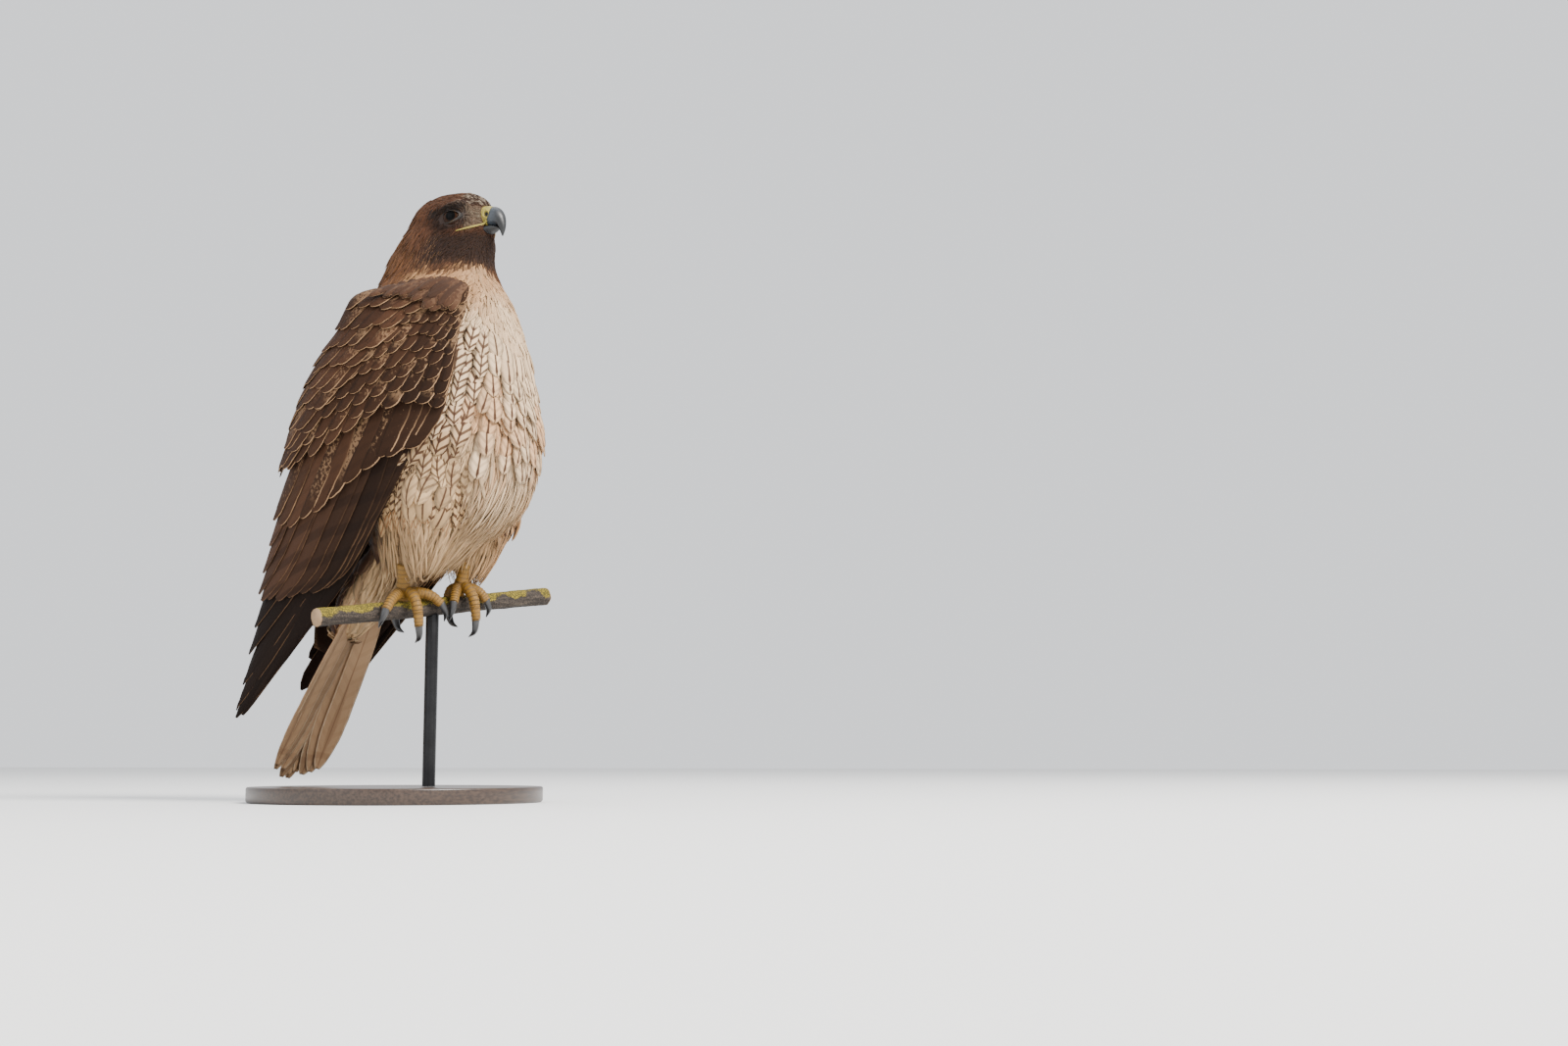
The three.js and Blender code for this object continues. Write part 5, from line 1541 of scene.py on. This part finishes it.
@dataclass(frozen=True)
class Tier:
    """Rows of overlapping vanes: lines that their roots and tips follow, in down and across."""

    count: int
    half: float
    lifts: tuple[float, float, float]
    roots: tuple
    tips: tuple
    tint: Colour
    bars: float = 0.0
    streak: float = 0.0
    finish: FeatherFinish = WING_FEATHER
    rows: int = 1
    last_roots: tuple | None = None
    growth: float = 1.0
    thick: float = 0.5
    tilt: float = 0.16
    jitter: float = 2.0
    # share by which the front vanes are darkened as painted shadow
    painted_front_shadow: float = 0.0

    def lines(self) -> tuple[Array, Array, Array]:
        """Root, tip and size of every vane, row after row between the first and the last line.

        Each second row is moved half a vane sideways, and sizes go evenly from 1 to the growth.

        Returns:
            Roots, tips and sizes.
        """
        parts = []
        for row in range(self.rows):
            part = row / max(self.rows - 1, 1)
            shift = 0.25 * (row % 2)
            last = self.count - 1 if self.rows == 1 else self.count - 0.75
            share = (np.arange(self.count) + shift) / max(last, 1)
            size = 1 + (self.growth - 1) * part
            roots, tips = self.walk(self.roots, share), self.walk(self.tips, share)
            start = roots
            if self.last_roots is not None:
                start = roots + (self.walk(self.last_roots, share) - roots) * part
            parts.append((start, start + (tips - roots) * size, np.full(self.count, size)))
        roots, tips, sizes = (np.concatenate(values) for values in zip(*parts))
        return roots, tips, sizes

    @staticmethod
    def walk(line: tuple, share: Array) -> Array:
        """Points at shares of a smooth line through given ones."""
        return along([(i / (len(line) - 1), *p) for i, p in enumerate(line)], share)

    def build(self, surface: Callable[[Array, Array, Array], Array], seed: int, under: Colour | None = None,
              rows: int = 16) -> Mesh:
        """The vanes as thin closed slabs on a surface.

        A vane's middle runs from root to tip with a slight bow, its width by the outline rounded to
        a half ellipse at the tip, its height by the lifts, tilted so that the front edge lies over
        the next vane, with the shaft a little proud.

        Args:
            surface: maps down, across and lift to points.
            seed: for the small differences from vane to vane.
            under: colour of the underside, the same as above if None.
            rows: rings of points along a vane.

        Returns:
            The mesh.
        """
        draw = np.random.default_rng(seed)
        roots, tips, sizes = self.lines()
        n = len(roots)
        tips = tips + draw.normal(0, self.jitter, (n, 2)) * np.array((1, 0.6))
        half = self.half * sizes * draw.uniform(0.9, 1.1, n)
        t = 1 - (1 - np.linspace(0, 1, rows)) ** 1.5
        end = np.clip((t - TIP_START) / TIP_LENGTH, 0, 1)
        outline = along(VANE_OUTLINE, t) * np.sqrt(np.maximum(1 - end ** 2.2, 0.0))
        ragged = 1 + draw.normal(0, 0.02, (n, rows)) * (t > 0.2)
        reach = half[:, None] * outline * ragged
        way = tips - roots
        span = np.linalg.norm(way, axis=-1, keepdims=True)
        way = way / span
        beside = np.stack([-way[:, 1], way[:, 0]], -1)
        beside = beside * np.where(beside[:, 1:] < 0, -1, 1)
        bow = draw.normal(0, 0.012, n) * span[:, 0]
        middle = roots[:, None] + (tips - roots)[:, None] * t[:, None] + beside[:, None] * (
            bow[:, None] * np.sin(t * math.pi))[..., None]
        x = np.linspace(-1, 1, 7)
        spots = middle[:, :, None] + beside[:, None, None] * (reach[..., None] * x)[..., None]
        lift = along([(0, self.lifts[0]), (0.5, self.lifts[1]), (1, self.lifts[2])], t)[None, :, None]
        lift = lift + self.tilt * x * reach[..., None] + 0.45 * (1 - np.abs(x)) ** 2 - 0.5 * x ** 2
        lift = lift + draw.uniform(-0.25, 0.25, n)[:, None, None]
        thick = self.thick * (1 - 0.5 * x ** 2) * (1 - 0.4 * t[:, None])
        over = surface(spots[..., 0], spots[..., 1], lift)
        below = surface(spots[..., 0], spots[..., 1], lift - thick)
        rings = np.concatenate([over, below[:, :, ::-1]], 2)
        across = np.concatenate([x, x[::-1]])
        # random tone times a painted shadow that darkens the vanes toward the wing's front edge by the breast
        tone_and_front_shadow = draw.uniform(0.72, 1.28, (n, 1)) * (1 - self.painted_front_shadow * ramp(tips[:, 1:], -35, 12))
        tint = np.array(self.tint) * tone_and_front_shadow
        marks = np.stack([np.full(n, self.streak), np.full(n, self.bars), draw.uniform(0, 1, n)], -1)
        mesh = many(rings, across, t, tint, marks, unwrap(rings[:, 0, 0]))
        if under is not None:
            tints = mesh.tint.reshape(n, rows, 2 * len(x), 3)
            tints[:, :, len(x):] = np.array(under) * tone_and_front_shadow[:, None, None]
        return mesh


@dataclass
class Wings:
    """The folded wings: primaries, secondaries, coverts and scapulars in tiers over a core."""

    core_depth: tuple[float, float] = (-10.5, -7.0)
    core_inset: float = 7.0
    core_length: float = 300.0
    overhang: float = 3.5
    shoulder: float = 1.1
    tucked: float = 15.0
    soften: float = 9.0
    roll: float = 4.5
    tiers: tuple[Tier, ...] = (
        # primaries: their own dark brown deepened to near black as painted shade under the secondaries
        Tier(10, 11, (-8.5, -7.2, -4.4), ((104, 27), (92, 6)),
             ((296, 15), (318, 14), (340, 9), (358, 4), (370, 0), (377, -6), (372, -12), (356, -20),
              (334, -28), (310, -34)),
             (0.011, 0.006, 0.004), 0.1, tilt=0.1, finish=FLIGHT_FEATHER),
        Tier(13, 13, (-7, -5.2, -2.2), ((100, 26), (104, 0), (110, -34), (112, -72)),
             ((232, 20), (243, 14), (252, 8), (264, -5), (276, -19), (285, -32), (284, -44), (262, -54),
              (222, -67)),
             (0.06, 0.029, 0.0165), 0.4, thick=0.6, finish=FLIGHT_FEATHER,
             painted_front_shadow=0.72),
        Tier(12, 10.5, (-4.6, -2.6, -0.2), ((56, 24), (70, 4), (98, -14), (136, -32), (166, -58)),
             ((112, 29), (126, 18), (153, 3), (190, -15), (222, -34), (226, -58)),
             (0.056, 0.025, 0.0125), 0.15, painted_front_shadow=0.6),
        Tier(11, 9, (-3.6, -1.2, 0.9), ((30, 14), (44, -8), (74, -28), (110, -50), (146, -72)),
             ((72, 27), (84, 8), (112, -11), (147, -31), (180, -54), (190, -72)),
             (0.052, 0.0235, 0.0118), 0.1, painted_front_shadow=0.6),
        Tier(10, 4.2, (-1.6, 0.2, 1.5), ((-12, -12), (-12, -22), (-8, -34), (-1, -48)),
             ((3, -6), (4, -20), (8, -34), (15, -50)), (0.042, 0.0185, 0.009), 0.0, 0.4,
             rows=9, last_roots=((46, 20), (58, 0), (84, -20), (116, -44), (140, -60)), growth=1.95,
             jitter=1.4, painted_front_shadow=0.5),
        Tier(6, 8, (-2, 0.4, 2.2), ((-4, -34), (8, -60), (24, -86)),
             ((30, -38), (42, -64), (58, -92)), (0.05, 0.0215, 0.0105), 0.1, 0.3,
             rows=9, last_roots=((140, -62), (150, -82), (156, -103)), growth=1.45, jitter=2.2),
    )

    def core(self, side: Side) -> Mesh:
        """A slab under the vanes, from the wrist to the last secondary, painted near black as the shade seen
        between them.

        Args:
            side: which wing.

        Returns:
            The mesh.
        """
        down, share = net(np.linspace(4, self.core_length, 50), np.linspace(0, 1, 20))
        front = along(FLANK.front_edge, down) - self.core_inset
        back = along(FLANK.back_edge, down) + self.core_inset
        across = back + np.maximum(front - back, 4) * share
        over = FLANK.point(side, down, across, self.core_depth[1])
        below = FLANK.point(side, down, across, self.core_depth[0])
        mesh = tube(np.concatenate([over, below[:, ::-1]], 1))
        # painted shade: near-black tint for the shade between and under the vanes
        mesh.tint = np.broadcast_to((0.02, 0.01, 0.006), mesh.points.shape).copy()
        mesh.marks = np.zeros_like(mesh.points)
        return mesh

    def build(self, shop: Workshop) -> None:
        """Lay the tiers of each wing over its core.

        Args:
            shop: makes the pieces.
        """
        for side in Side:
            def surface(down: Array, across: Array, lift: Array) -> Array:
                """The wing's side, curling inwards past its front edge.

                Args:
                    down: distance down the wing.
                    across: distance across it.
                    lift: height over it.

                Returns:
                    The points.
                """
                back = along(FLANK.back_edge, down) - self.overhang
                front = along(FLANK.front_edge, down) + self.overhang + np.minimum(down, 0) * self.shoulder
                front = front - self.tucked * (side is Side.LEFT) * ramp(down, 70, 30)
                inner = front - self.soften
                curl = 1 - np.exp(-np.maximum(across - inner, 0) / self.soften)
                across = np.where(curl > 0, inner + self.soften * curl, np.maximum(across, back))
                return FLANK.point(side, down, across, lift - self.roll * curl ** 2)

            vanes = [tier.build(surface, 60 + 10 * i + side.value) for i, tier in enumerate(self.tiers)]
            for name, finish in (("flight", FLIGHT_FEATHER), ("covert", WING_FEATHER)):
                parts = [mesh for tier, mesh in zip(self.tiers, vanes) if tier.finish is finish]
                parts += [self.core(side)] if finish is FLIGHT_FEATHER else []
                shop.piece(f"{name}_feathers_{side.word}", together(parts), finish, f"wing_{side.word}")


@dataclass
class Tail:
    """Twelve tail feathers, closed to a narrow fan and twisted a little, rufous above and pale below."""

    root: tuple[float, float] = (-44, 190)
    tip: tuple[float, float] = (-126, 21)
    twist: float = math.radians(18)
    arch: float = 0.006
    halves: tuple[float, float] = (15, 32)
    feather_half: float = 10.5
    count: int = 12
    layer: float = 0.75
    outer_shorter: float = 7
    above: Colour = (0.42, 0.15, 0.055)
    below: Colour = (0.25, 0.155, 0.085)

    def point(self, down: Array, across: Array, lift: Array) -> Array:
        """Points down the tail, across it and over its upper side.

        The cross-section is a parabola that bows downwards at its sides; the whole turns evenly
        about the tail's length.

        Args:
            down: distance from the root.
            across: distance to the left of the middle.
            lift: height over the upper side.

        Returns:
            The points, in millimetres.
        """
        run, drop = self.root[0] - self.tip[0], self.root[1] - self.tip[1]
        slant, length = math.atan2(run, drop), math.hypot(run, drop)
        turn = self.twist * down / length
        out = lift - self.arch * across ** 2
        left = across * np.cos(turn) + out * np.sin(turn)
        outward = across * np.sin(turn) - out * np.cos(turn)
        return place(left, self.root[0] - down * math.sin(slant) + outward * math.cos(slant),
                     self.root[1] - down * math.cos(slant) - outward * math.sin(slant))

    def build(self, shop: Workshop) -> None:
        """Fan the feathers from the root, the middle pair uppermost.

        Args:
            shop: makes the piece.
        """
        length = math.hypot(self.root[0] - self.tip[0], self.root[1] - self.tip[1])
        parts = []
        for i in range(self.count // 2):
            share = (i + 0.5) / (self.count / 2)
            for sign in (-1, 1):
                start = sign * (self.halves[0] - 6) * share
                end = sign * (self.halves[1] - self.feather_half) * share
                fall = -self.layer * i
                tip = (length - 1.5 - self.outer_shorter * share ** 2, end)
                tier = Tier(1, self.feather_half, (fall, fall, fall + 0.4), ((2, start),) * 2, (tip, tip),
                            self.above, 0.12, 0.4, thick=0.5, tilt=-0.03 * sign, jitter=2.4)
                parts.append(tier.build(self.point, 200 + i * 2 + sign, self.below, 26))
        shop.piece("feathers_tail", together(parts), TAIL_FEATHER, "tail")


# Head pieces


def snout(sections: Sequence[Sequence[float]], squareness: float, steps: int = 48, sides: int = 72) -> Mesh:
    """A closed loft in the head's frame through rings of forward, half width, top and bottom."""
    forward, a = net(np.linspace(sections[0][0], sections[-1][0], steps), turns(sides))
    half, top, bottom = np.moveaxis(along(sections, forward), -1, 0)
    return tube(HEAD.point(half * bulge(np.sin(a), squareness), forward,
                           (top + bottom) / 2 + (top - bottom) / 2 * bulge(np.cos(a), squareness)))


@dataclass
class Face:
    """Eyes with their lids, cere with nostrils and gape, and the two halves of the bill."""

    lid_reach: tuple[float, float] = (8.6, 5.5)
    lid_wide: float = 0.5
    lid_thick: float = 0.45
    eye_forward: float = 0.3
    nostril: tuple[float, float, float] = (7.8, 33.2, 0.2)
    # ridge forward and up, edge forward and up, half width
    upper: tuple = (
        (34.6, 7.0, 29.6, -7.0, 5.6), (36.4, 7.1, 33, -7.8, 7.2), (39.4, 6.2, 36.6, -8.2, 6.9),
        (42.2, 3.8, 39, -8.8, 6.2), (44.6, -0.6, 40, -9.6, 5.0), (45.6, -6, 40.6, -11.2, 3.7),
        (45.4, -11.6, 41.2, -13.6, 2.3), (43.4, -17.6, 42.4, -17.6, 0.4),
    )
    # forward, half width, top, bottom
    lower: tuple = ((24, 7.2, -7.4, -13.6), (33, 6.2, -7.2, -13), (36.4, 4.7, -7.8, -11.8),
                    (39.2, 2.2, -9.2, -10.8))
    cere_rings: tuple = ((23.5, 9.0, 9.2, -8.4), (27, 8.9, 9.2, -8.2), (31, 8.2, 8.5, -7.7),
                         (33.4, 7.9, 8.0, -7.7), (35.2, 7.3, 7.3, -7.9))
    rim_rise: float = 0.35
    pit_depth: float = 1.5
    lip_radii: tuple = (0.35, 0.6, 0.75, 0.85, 0.8)
    lip_sunk: float = 0.6
    eye_sides: int = 48
    lid_sides: tuple[int, int] = (64, 12)
    lid_opening: tuple[float, float] = (0.74, 0.94)

    def eye(self, side: Side) -> Mesh:
        """A ball whose first ring lies at the middle of the pupil.

        Args:
            side: which eye.

        Returns:
            The mesh.
        """
        pole = 0.02
        t, a = net(np.linspace(pole, math.pi - pole, self.eye_sides), turns(self.eye_sides))
        axis = unit(np.array((side.value, self.eye_forward, 0.02)))
        ahead = unit(np.cross(np.array((0, 0, 1.0)), axis))
        over = np.cross(axis, ahead)
        spot = (np.cos(t)[..., None] * axis + np.sin(t)[..., None] * (
            np.cos(a)[..., None] * ahead + np.sin(a)[..., None] * over)) * EYE_RADIUS
        middle = np.array(EYE_AT) * (side.value, 1, 1)
        return tube(HEAD.point(*np.moveaxis(middle + spot, -1, 0)))

    def lids(self, side: Side) -> Mesh:
        """A flat hoop round the eye, lying on a ball a little larger than it.

        Args:
            side: which eye.

        Returns:
            The mesh.
        """
        rows, columns = self.lid_sides
        a, b = net(turns(rows), turns(columns))
        wide = 1 + self.lid_wide * np.cos(b) / self.lid_reach[1]
        ahead = self.lid_reach[0] * np.cos(a) * wide
        up = self.lid_reach[1] * np.sin(a) * wide * np.where(np.sin(a) > 0, *self.lid_opening)
        up = up + 0.5 * np.cos(a)
        ball = EYE_RADIUS + 0.35 + self.lid_thick * np.sin(b)
        out = np.sqrt(np.maximum(ball ** 2 - ahead ** 2 - up ** 2, 4))
        points = HEAD.point(side.value * (EYE_AT[0] + out), EYE_AT[1] + ahead + 0.6, EYE_AT[2] + up)
        quads = grid_quads(rows, columns, True)
        seam, last = np.arange(columns), (rows - 1) * columns
        following = (seam + 1) % columns
        closing = np.stack([last + seam, last + following, following, seam], -1)
        mesh = Mesh(points.reshape(-1, 3), [quads, closing])
        mesh.vane = np.stack([b / TURN, a / TURN], -1).reshape(-1, 2)
        mesh.bake = mesh.vane.copy()
        dark = np.maximum(ramp(np.sin(a), -0.85, -0.5), ramp(np.cos(b), 0.5, -0.6) * 0.7)
        mesh.marks = np.stack([np.clip(dark, 0, 1)] * 3, -1).reshape(-1, 3)
        return mesh

    def cere(self) -> Mesh:
        """The swollen skin at the root of the bill, with a sunken pit for each nostril, painted dark as
        shade.

        Returns:
            The mesh.
        """
        mesh = snout(self.cere_rings, 2.3, 60, 120)
        own = HEAD.local(mesh.points)
        own[:, 1] += ramp(own[:, 1], 27, 35) * (0.8 - 4.6 * ramp(own[:, 2], 1, -7))
        away = np.hypot((own[:, 1] - self.nostril[1]) / 1.15, (own[:, 2] - self.nostril[2]) / 1.25)
        away = np.where(np.abs(own[:, 0]) > 2, away, 9)
        rim, pit = np.exp(-((away - 2.3) / 0.7) ** 2), ramp(away, 1.9, 1.1)
        own[:, 0] += np.sign(own[:, 0]) * (self.rim_rise * rim - self.pit_depth * pit)
        mesh.points = HEAD.point(own[:, 0], own[:, 1], own[:, 2])
        # marks carry painted shade in the nostril pits
        mesh.marks = np.stack([pit] * 3, -1)
        return mesh

    def lip(self, side: Side) -> Mesh:
        """The yellow edge of the gape, from under the eye to the cere.

        Args:
            side: which side.

        Returns:
            The mesh.
        """
        points = []
        for forward, up in GAPE:
            out = float(HEAD.cheek(forward, up)) - self.lip_sunk if forward < 30 else 6.9
            points.append(HEAD.point(side.value * out, forward, up))
        mesh = limb(np.array(points), self.lip_radii, 40, 16)
        mesh.marks = np.zeros_like(mesh.points)
        return mesh

    def bill(self) -> Mesh:
        """The upper half: rings from the ridge to the cutting edge, widest below the middle.

        Returns:
            The mesh.
        """
        share, a = net(np.linspace(0, 1, 60), turns(64))
        read = along([(i, *row) for i, row in enumerate(self.upper)], share * (len(self.upper) - 1))
        ridge, edge, half = read[..., 0:2], read[..., 2:4], read[..., 4]
        c = bulge(np.cos(a), 2.2)[..., None]
        spot = (ridge + edge) / 2 + (ridge - edge) / 2 * c
        left = half * bulge(np.sin(a), 2.3) * (1 - 0.16 * np.cos(a))
        return tube(HEAD.point(left, spot[..., 0], spot[..., 1]))

    def build(self, shop: Workshop) -> None:
        """Make the eyes, lids, cere and bill.

        Args:
            shop: makes the pieces.
        """
        for side in Side:
            shop.piece(f"eyeball_{side.word}", self.eye(side), EYE, f"eye_{side.word}")
        shop.piece("lids", together([self.lids(side) for side in Side]), LID_SKIN)
        gape = together([self.cere(), *(self.lip(side) for side in Side)])
        shop.piece("cere_and_gape", gape, CERE_SKIN, "cere")
        shop.piece("bill_hook", self.bill(), BILL_HORN, "bill_upper")
        shop.piece("bill_below", snout(self.lower, 2.0), SHADED_UNDER_HORN, "bill_lower")


# Feet, perch and stand


@dataclass
class Feet:
    """Bare shanks, plated toes and curved claws gripping the perch."""

    tarsus_radius: float = 5.2
    toe_radius: float = 4.3
    spread: dict[Side, float] = field(default_factory=lambda: {Side.RIGHT: 1.0, Side.LEFT: 0.62})
    plates: int = 13
    shank_plates: int = 9
    # outwards, forward and up from the top of the perch
    shank: tuple = ((3, 8, 26.4), (1, 2, 7.7), (0, -1, 3.4), (0, 0, -3))
    shank_swell: tuple = (1, 0.9, 1.1, 0.85)
    claw_overlap: float = 0.08
    plate_rise: float = 0.5
    pad_rise: float = 0.55
    claw_radii: tuple[float, float, float] = (3.1, 2.2, 0.35)
    # outwards, forward and up from the axis of the perch: the toe's line, then its claw's
    toes: dict[str, tuple] = field(default_factory=lambda: {
        "hind": (((0, 1, 13), (0, -10, 11.5), (-1, -15.5, 2), (-1, -15.5, -7)),
                 ((-1, -12, -14), (-1, -5, -17.5))),
        "inner": (((0, -1, 13), (-9, 5, 12.2), (-18, 10.5, 8.8), (-25, 13, 2)),
                  ((-28.5, 12.5, -5.6), (-29.5, 8.5, -12))),
        "middle": (((0, 0, 13), (0.5, 11, 11.8), (1, 17.5, 3), (1, 18, -14)),
                   ((0, 15.5, -22), (-1, 8.5, -26))),
        "outer": (((0, 0, 13), (9, 5.5, 12.2), (19, 10.8, 8), (26, 13, 1)), ((29.5, 12, -6), (30, 7.5, -12))),
    })

    def scutes(self, count: int) -> Callable[[Array, Array], Array]:
        """Swelling of a toe: plates like roof tiles on top, round pads beneath.

        Args:
            count: plates along the toe.

        Returns:
            The swelling as a function of share and angle.
        """
        def swell(share: Array, angle: Array) -> Array:
            """Height of tiles and pads at a share of the toe and an angle from its top.

            Args:
                share: share along the toe.
                angle: angle from its top.

            Returns:
                The height.
            """
            tile = (share * count) % 1
            top = np.clip(np.cos(angle) * 1.6, 0, 1)
            edge = np.minimum(tile / 0.8, (1 - tile) / 0.2)
            pad = np.abs(np.sin(share * math.pi * count * 0.3)) * np.clip(-np.cos(angle), 0, 1)
            return top * self.plate_rise * (edge - 0.5) + pad * self.pad_rise - 0.15
        return swell

    def crease(self, mesh: Mesh, count: int) -> Mesh:
        """Marks that darken the joints between the plates."""
        tile = (mesh.vane[:, 1] * count) % 1
        line = ramp(np.abs(tile - 0.9), 0.2, 0.04)
        mesh.marks = np.stack([line * 0.8] * 3, -1)
        return mesh

    def by_foot(self, side: Side, row: Sequence[float]) -> Array:
        """A place by a foot, spread out along the perch."""
        return PERCH.foot(side, self.spread[side] * row[0], row[1], row[2])

    def build(self, shop: Workshop) -> None:
        """Make the shank, the four toes and the four claws of each foot.

        Args:
            shop: makes the pieces.
        """
        for side in Side:
            line = np.array([PERCH.foot(side, o, f, PERCH.radius + u) for o, f, u in self.shank])
            radii = [self.tarsus_radius * share for share in self.shank_swell]
            shank = limb(line, radii, 70, 40, self.scutes(self.shank_plates))
            shop.piece(f"shank_{side.word}", self.crease(shank, self.shank_plates), FOOT_SKIN,
                       f"tarsus_{side.word}")
            for name, (toe, claw) in self.toes.items():
                points = np.array([self.by_foot(side, p) for p in toe])
                top = points[0] - PERCH.point(side.value * PERCH.foot_along, 0, -30)
                radii = [self.toe_radius * (1.02 - 0.22 * (i / 3) ** 2) for i in range(4)]
                skin = limb(points, radii, 120, 36, self.scutes(self.plates), top)
                shop.piece(f"plated_{name}_{side.word}", self.crease(skin, self.plates), FOOT_SKIN,
                           f"toe_{name}_{side.word}")
                start = points[-1] + (points[-2] - points[-1]) * self.claw_overlap
                hook = np.array([start, *(self.by_foot(side, p) for p in claw)])
                shop.piece(f"talon_{name}_{side.word}", limb(hook, self.claw_radii, 36, 24), CLAW_HORN,
                           f"claw_{name}_{side.word}")


@dataclass
class Support:
    """The cut length of branch, and the rod and disc that hold it."""

    bark_depth: float = 1.5
    bark_stretch: float = 0.22
    cut: float = 0.4
    base_radius: float = 112.0
    base_thickness: float = 12.0
    base_forward: float = -28.0
    bevel: float = 1.5

    def branch(self) -> Mesh:
        """A round branch with sunken cracks, mossy on its upper side, cut at both ends.

        Returns:
            The mesh, with marks of moss, cut wood and painted shade in the cracks.
        """
        start, end = (PERCH.point(d, 0, 0) for d in PERCH.reach)
        length = PERCH.reach[1] - PERCH.reach[0]

        def bark(share: Array, angle: Array) -> Array:
            """Sunken bark: three ripples drawn out along the branch.

            Args:
                share: share along the branch.
                angle: angle from its top.

            Returns:
                The height.
            """
            run = share * length * self.bark_stretch
            spot = np.stack(np.broadcast_arrays(run, np.cos(angle) * 9, np.sin(angle) * 9), -1)
            rough = ripple(spot, 5, 21, 9) * 0.5 + ripple(spot, 11, 22) * 0.35
            rough = rough + ripple(spot, 2.3, 23, 12) * 0.35
            return -self.bark_depth * 0.5 + rough * self.bark_depth * 0.5

        mesh = limb(np.array([start, (start + end) / 2, end]), (PERCH.radius,) * 3, 220, 72, bark, (0, 0, 1))
        up = np.cos(mesh.vane[:, 0] * TURN)
        run = mesh.vane[:, 1] * length
        moss = ramp(up + 0.5 * ripple(mesh.points, 30, 25), -0.3, 0.8)
        # painted shade in the cracks, from how far the bark sinks
        crack_shade = 0.5 + 0.5 * bark(mesh.vane[:, 1], mesh.vane[:, 0] * TURN) / self.bark_depth
        ends = ((run < self.cut) | (run > length - self.cut)).astype(float)
        mesh.marks = np.stack([moss, ends, np.clip(crack_shade, 0, 1)], -1)
        return mesh

    def lathe(self, profile: Sequence[tuple[float, float]], forward: float, sides: int) -> Mesh:
        """A turned form from radius and height."""
        table = np.array(profile)
        a = turns(sides)
        return tube(place(table[:, :1] * np.sin(a), forward + table[:, :1] * np.cos(a), table[:, 1:]))

    def build(self, shop: Workshop) -> None:
        """Make the branch and the disc, and finish the rod, whose solid stays as it is.

        Args:
            shop: makes the pieces.
        """
        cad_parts["stand_rod"].data.materials[0] = shop.material(ROD_STEEL)
        shop.piece("branch", self.branch(), BARK, "perch")
        r, h, b = self.base_radius, self.base_thickness, self.bevel
        arc = [(r - b + b * math.sin(t), h - b + b * math.cos(t)) for t in np.linspace(math.pi / 2, 0, 7)]
        profile = [(r - b, 0.0), (r, b), *arc, (r - 8, h), (r - 30, h), (1, h)]
        shop.piece("display_disc", self.lathe(profile, self.base_forward, 160), DISC_WOOD, "stand_base")


@dataclass
class Studio:
    """A pale floor, soft lamps, a pale sky and the camera of the photo."""

    camera_at: tuple[float, float, float] = (-1.299, -0.750, 0.032)
    looks: tuple[float, float, float] = (0.93515, 0.33207, 0.12337)
    lens: float = 43.83
    sky: Colour = (0.93, 0.95, 0.98)
    sky_strength: float = 1.25
    sensor: float = 36
    floor_reach: float = 6.0
    aim: tuple[float, float, float] = (0, 0, 0.3)
    # name, place, size, power and colour
    lamps: tuple = (("key", (-0.7, -2.3, 2.3), 1.2, 230, (1, 0.97, 0.93)),
                    ("fill", (-2.4, 0.8, 1.2), 2.0, 14, (0.93, 0.96, 1)),
                    ("top", (0.5, 0.4, 2.6), 2.0, 22, (1, 1, 1)))

    def lamp(self, name: str, at: Sequence[float], size: float, power: float, colour: Colour) -> None:
        """A square soft lamp that looks at the bird.

        Args:
            name: its name.
            at: its place in metres.
            size: its width.
            power: its power in watts.
            colour: its colour.
        """
        light = bpy.data.lights.new(name, "AREA")
        light.shape, light.size, light.energy, light.color = "SQUARE", size, power, colour
        made = show(name, light)
        made.location = at
        made.rotation_euler = self.facing(np.array(self.aim) - np.array(at))

    @staticmethod
    def facing(direction: Array) -> Any:
        """Rotation that looks along a direction with the top up."""
        return Vector(direction.tolist()).to_track_quat("-Z", "Y").to_euler()

    def build(self) -> None:
        """Set out floor, lamps, sky and camera."""
        data = bpy.data.meshes.new("floor")
        r = self.floor_reach
        data.from_pydata([(-r, -r, 0), (r, -r, 0), (r, r, 0), (-r, r, 0)], [], [(0, 1, 2, 3)])
        recipe = Recipe("studio_floor")
        data.materials.append(recipe.surface(Base_Color=(0.8, 0.8, 0.79, 1), Roughness=0.85))
        floor = show("floor", data)
        for lamp in self.lamps:
            self.lamp(*lamp)
        world = bpy.data.worlds.new("pale_sky")
        world.use_nodes = True
        background = next(n for n in world.node_tree.nodes if n.type == "BACKGROUND")
        background.inputs["Color"].default_value = (*self.sky, 1)
        background.inputs["Strength"].default_value = self.sky_strength
        bpy.context.scene.world = world
        data = bpy.data.cameras.new("photo_camera")
        data.lens, data.sensor_width = self.lens, self.sensor
        camera = show("photo_camera", data)
        camera.location = self.camera_at
        camera.rotation_euler = self.facing(np.array(self.looks))
        bpy.context.scene.camera = camera


def main() -> None:
    """Build the bird, its perch and stand, and the studio."""
    logging.basicConfig(level=logging.INFO, format="%(message)s")
    shop = Workshop()
    Coat().feathers(shop)
    Wings().build(shop)
    Tail().build(shop)
    Face().build(shop)
    Feet().build(shop)
    Support().build(shop)
    Studio().build()
    LOG.info("all pieces: %d triangles", shop.triangles)


if __name__ == "__main__":
    main()
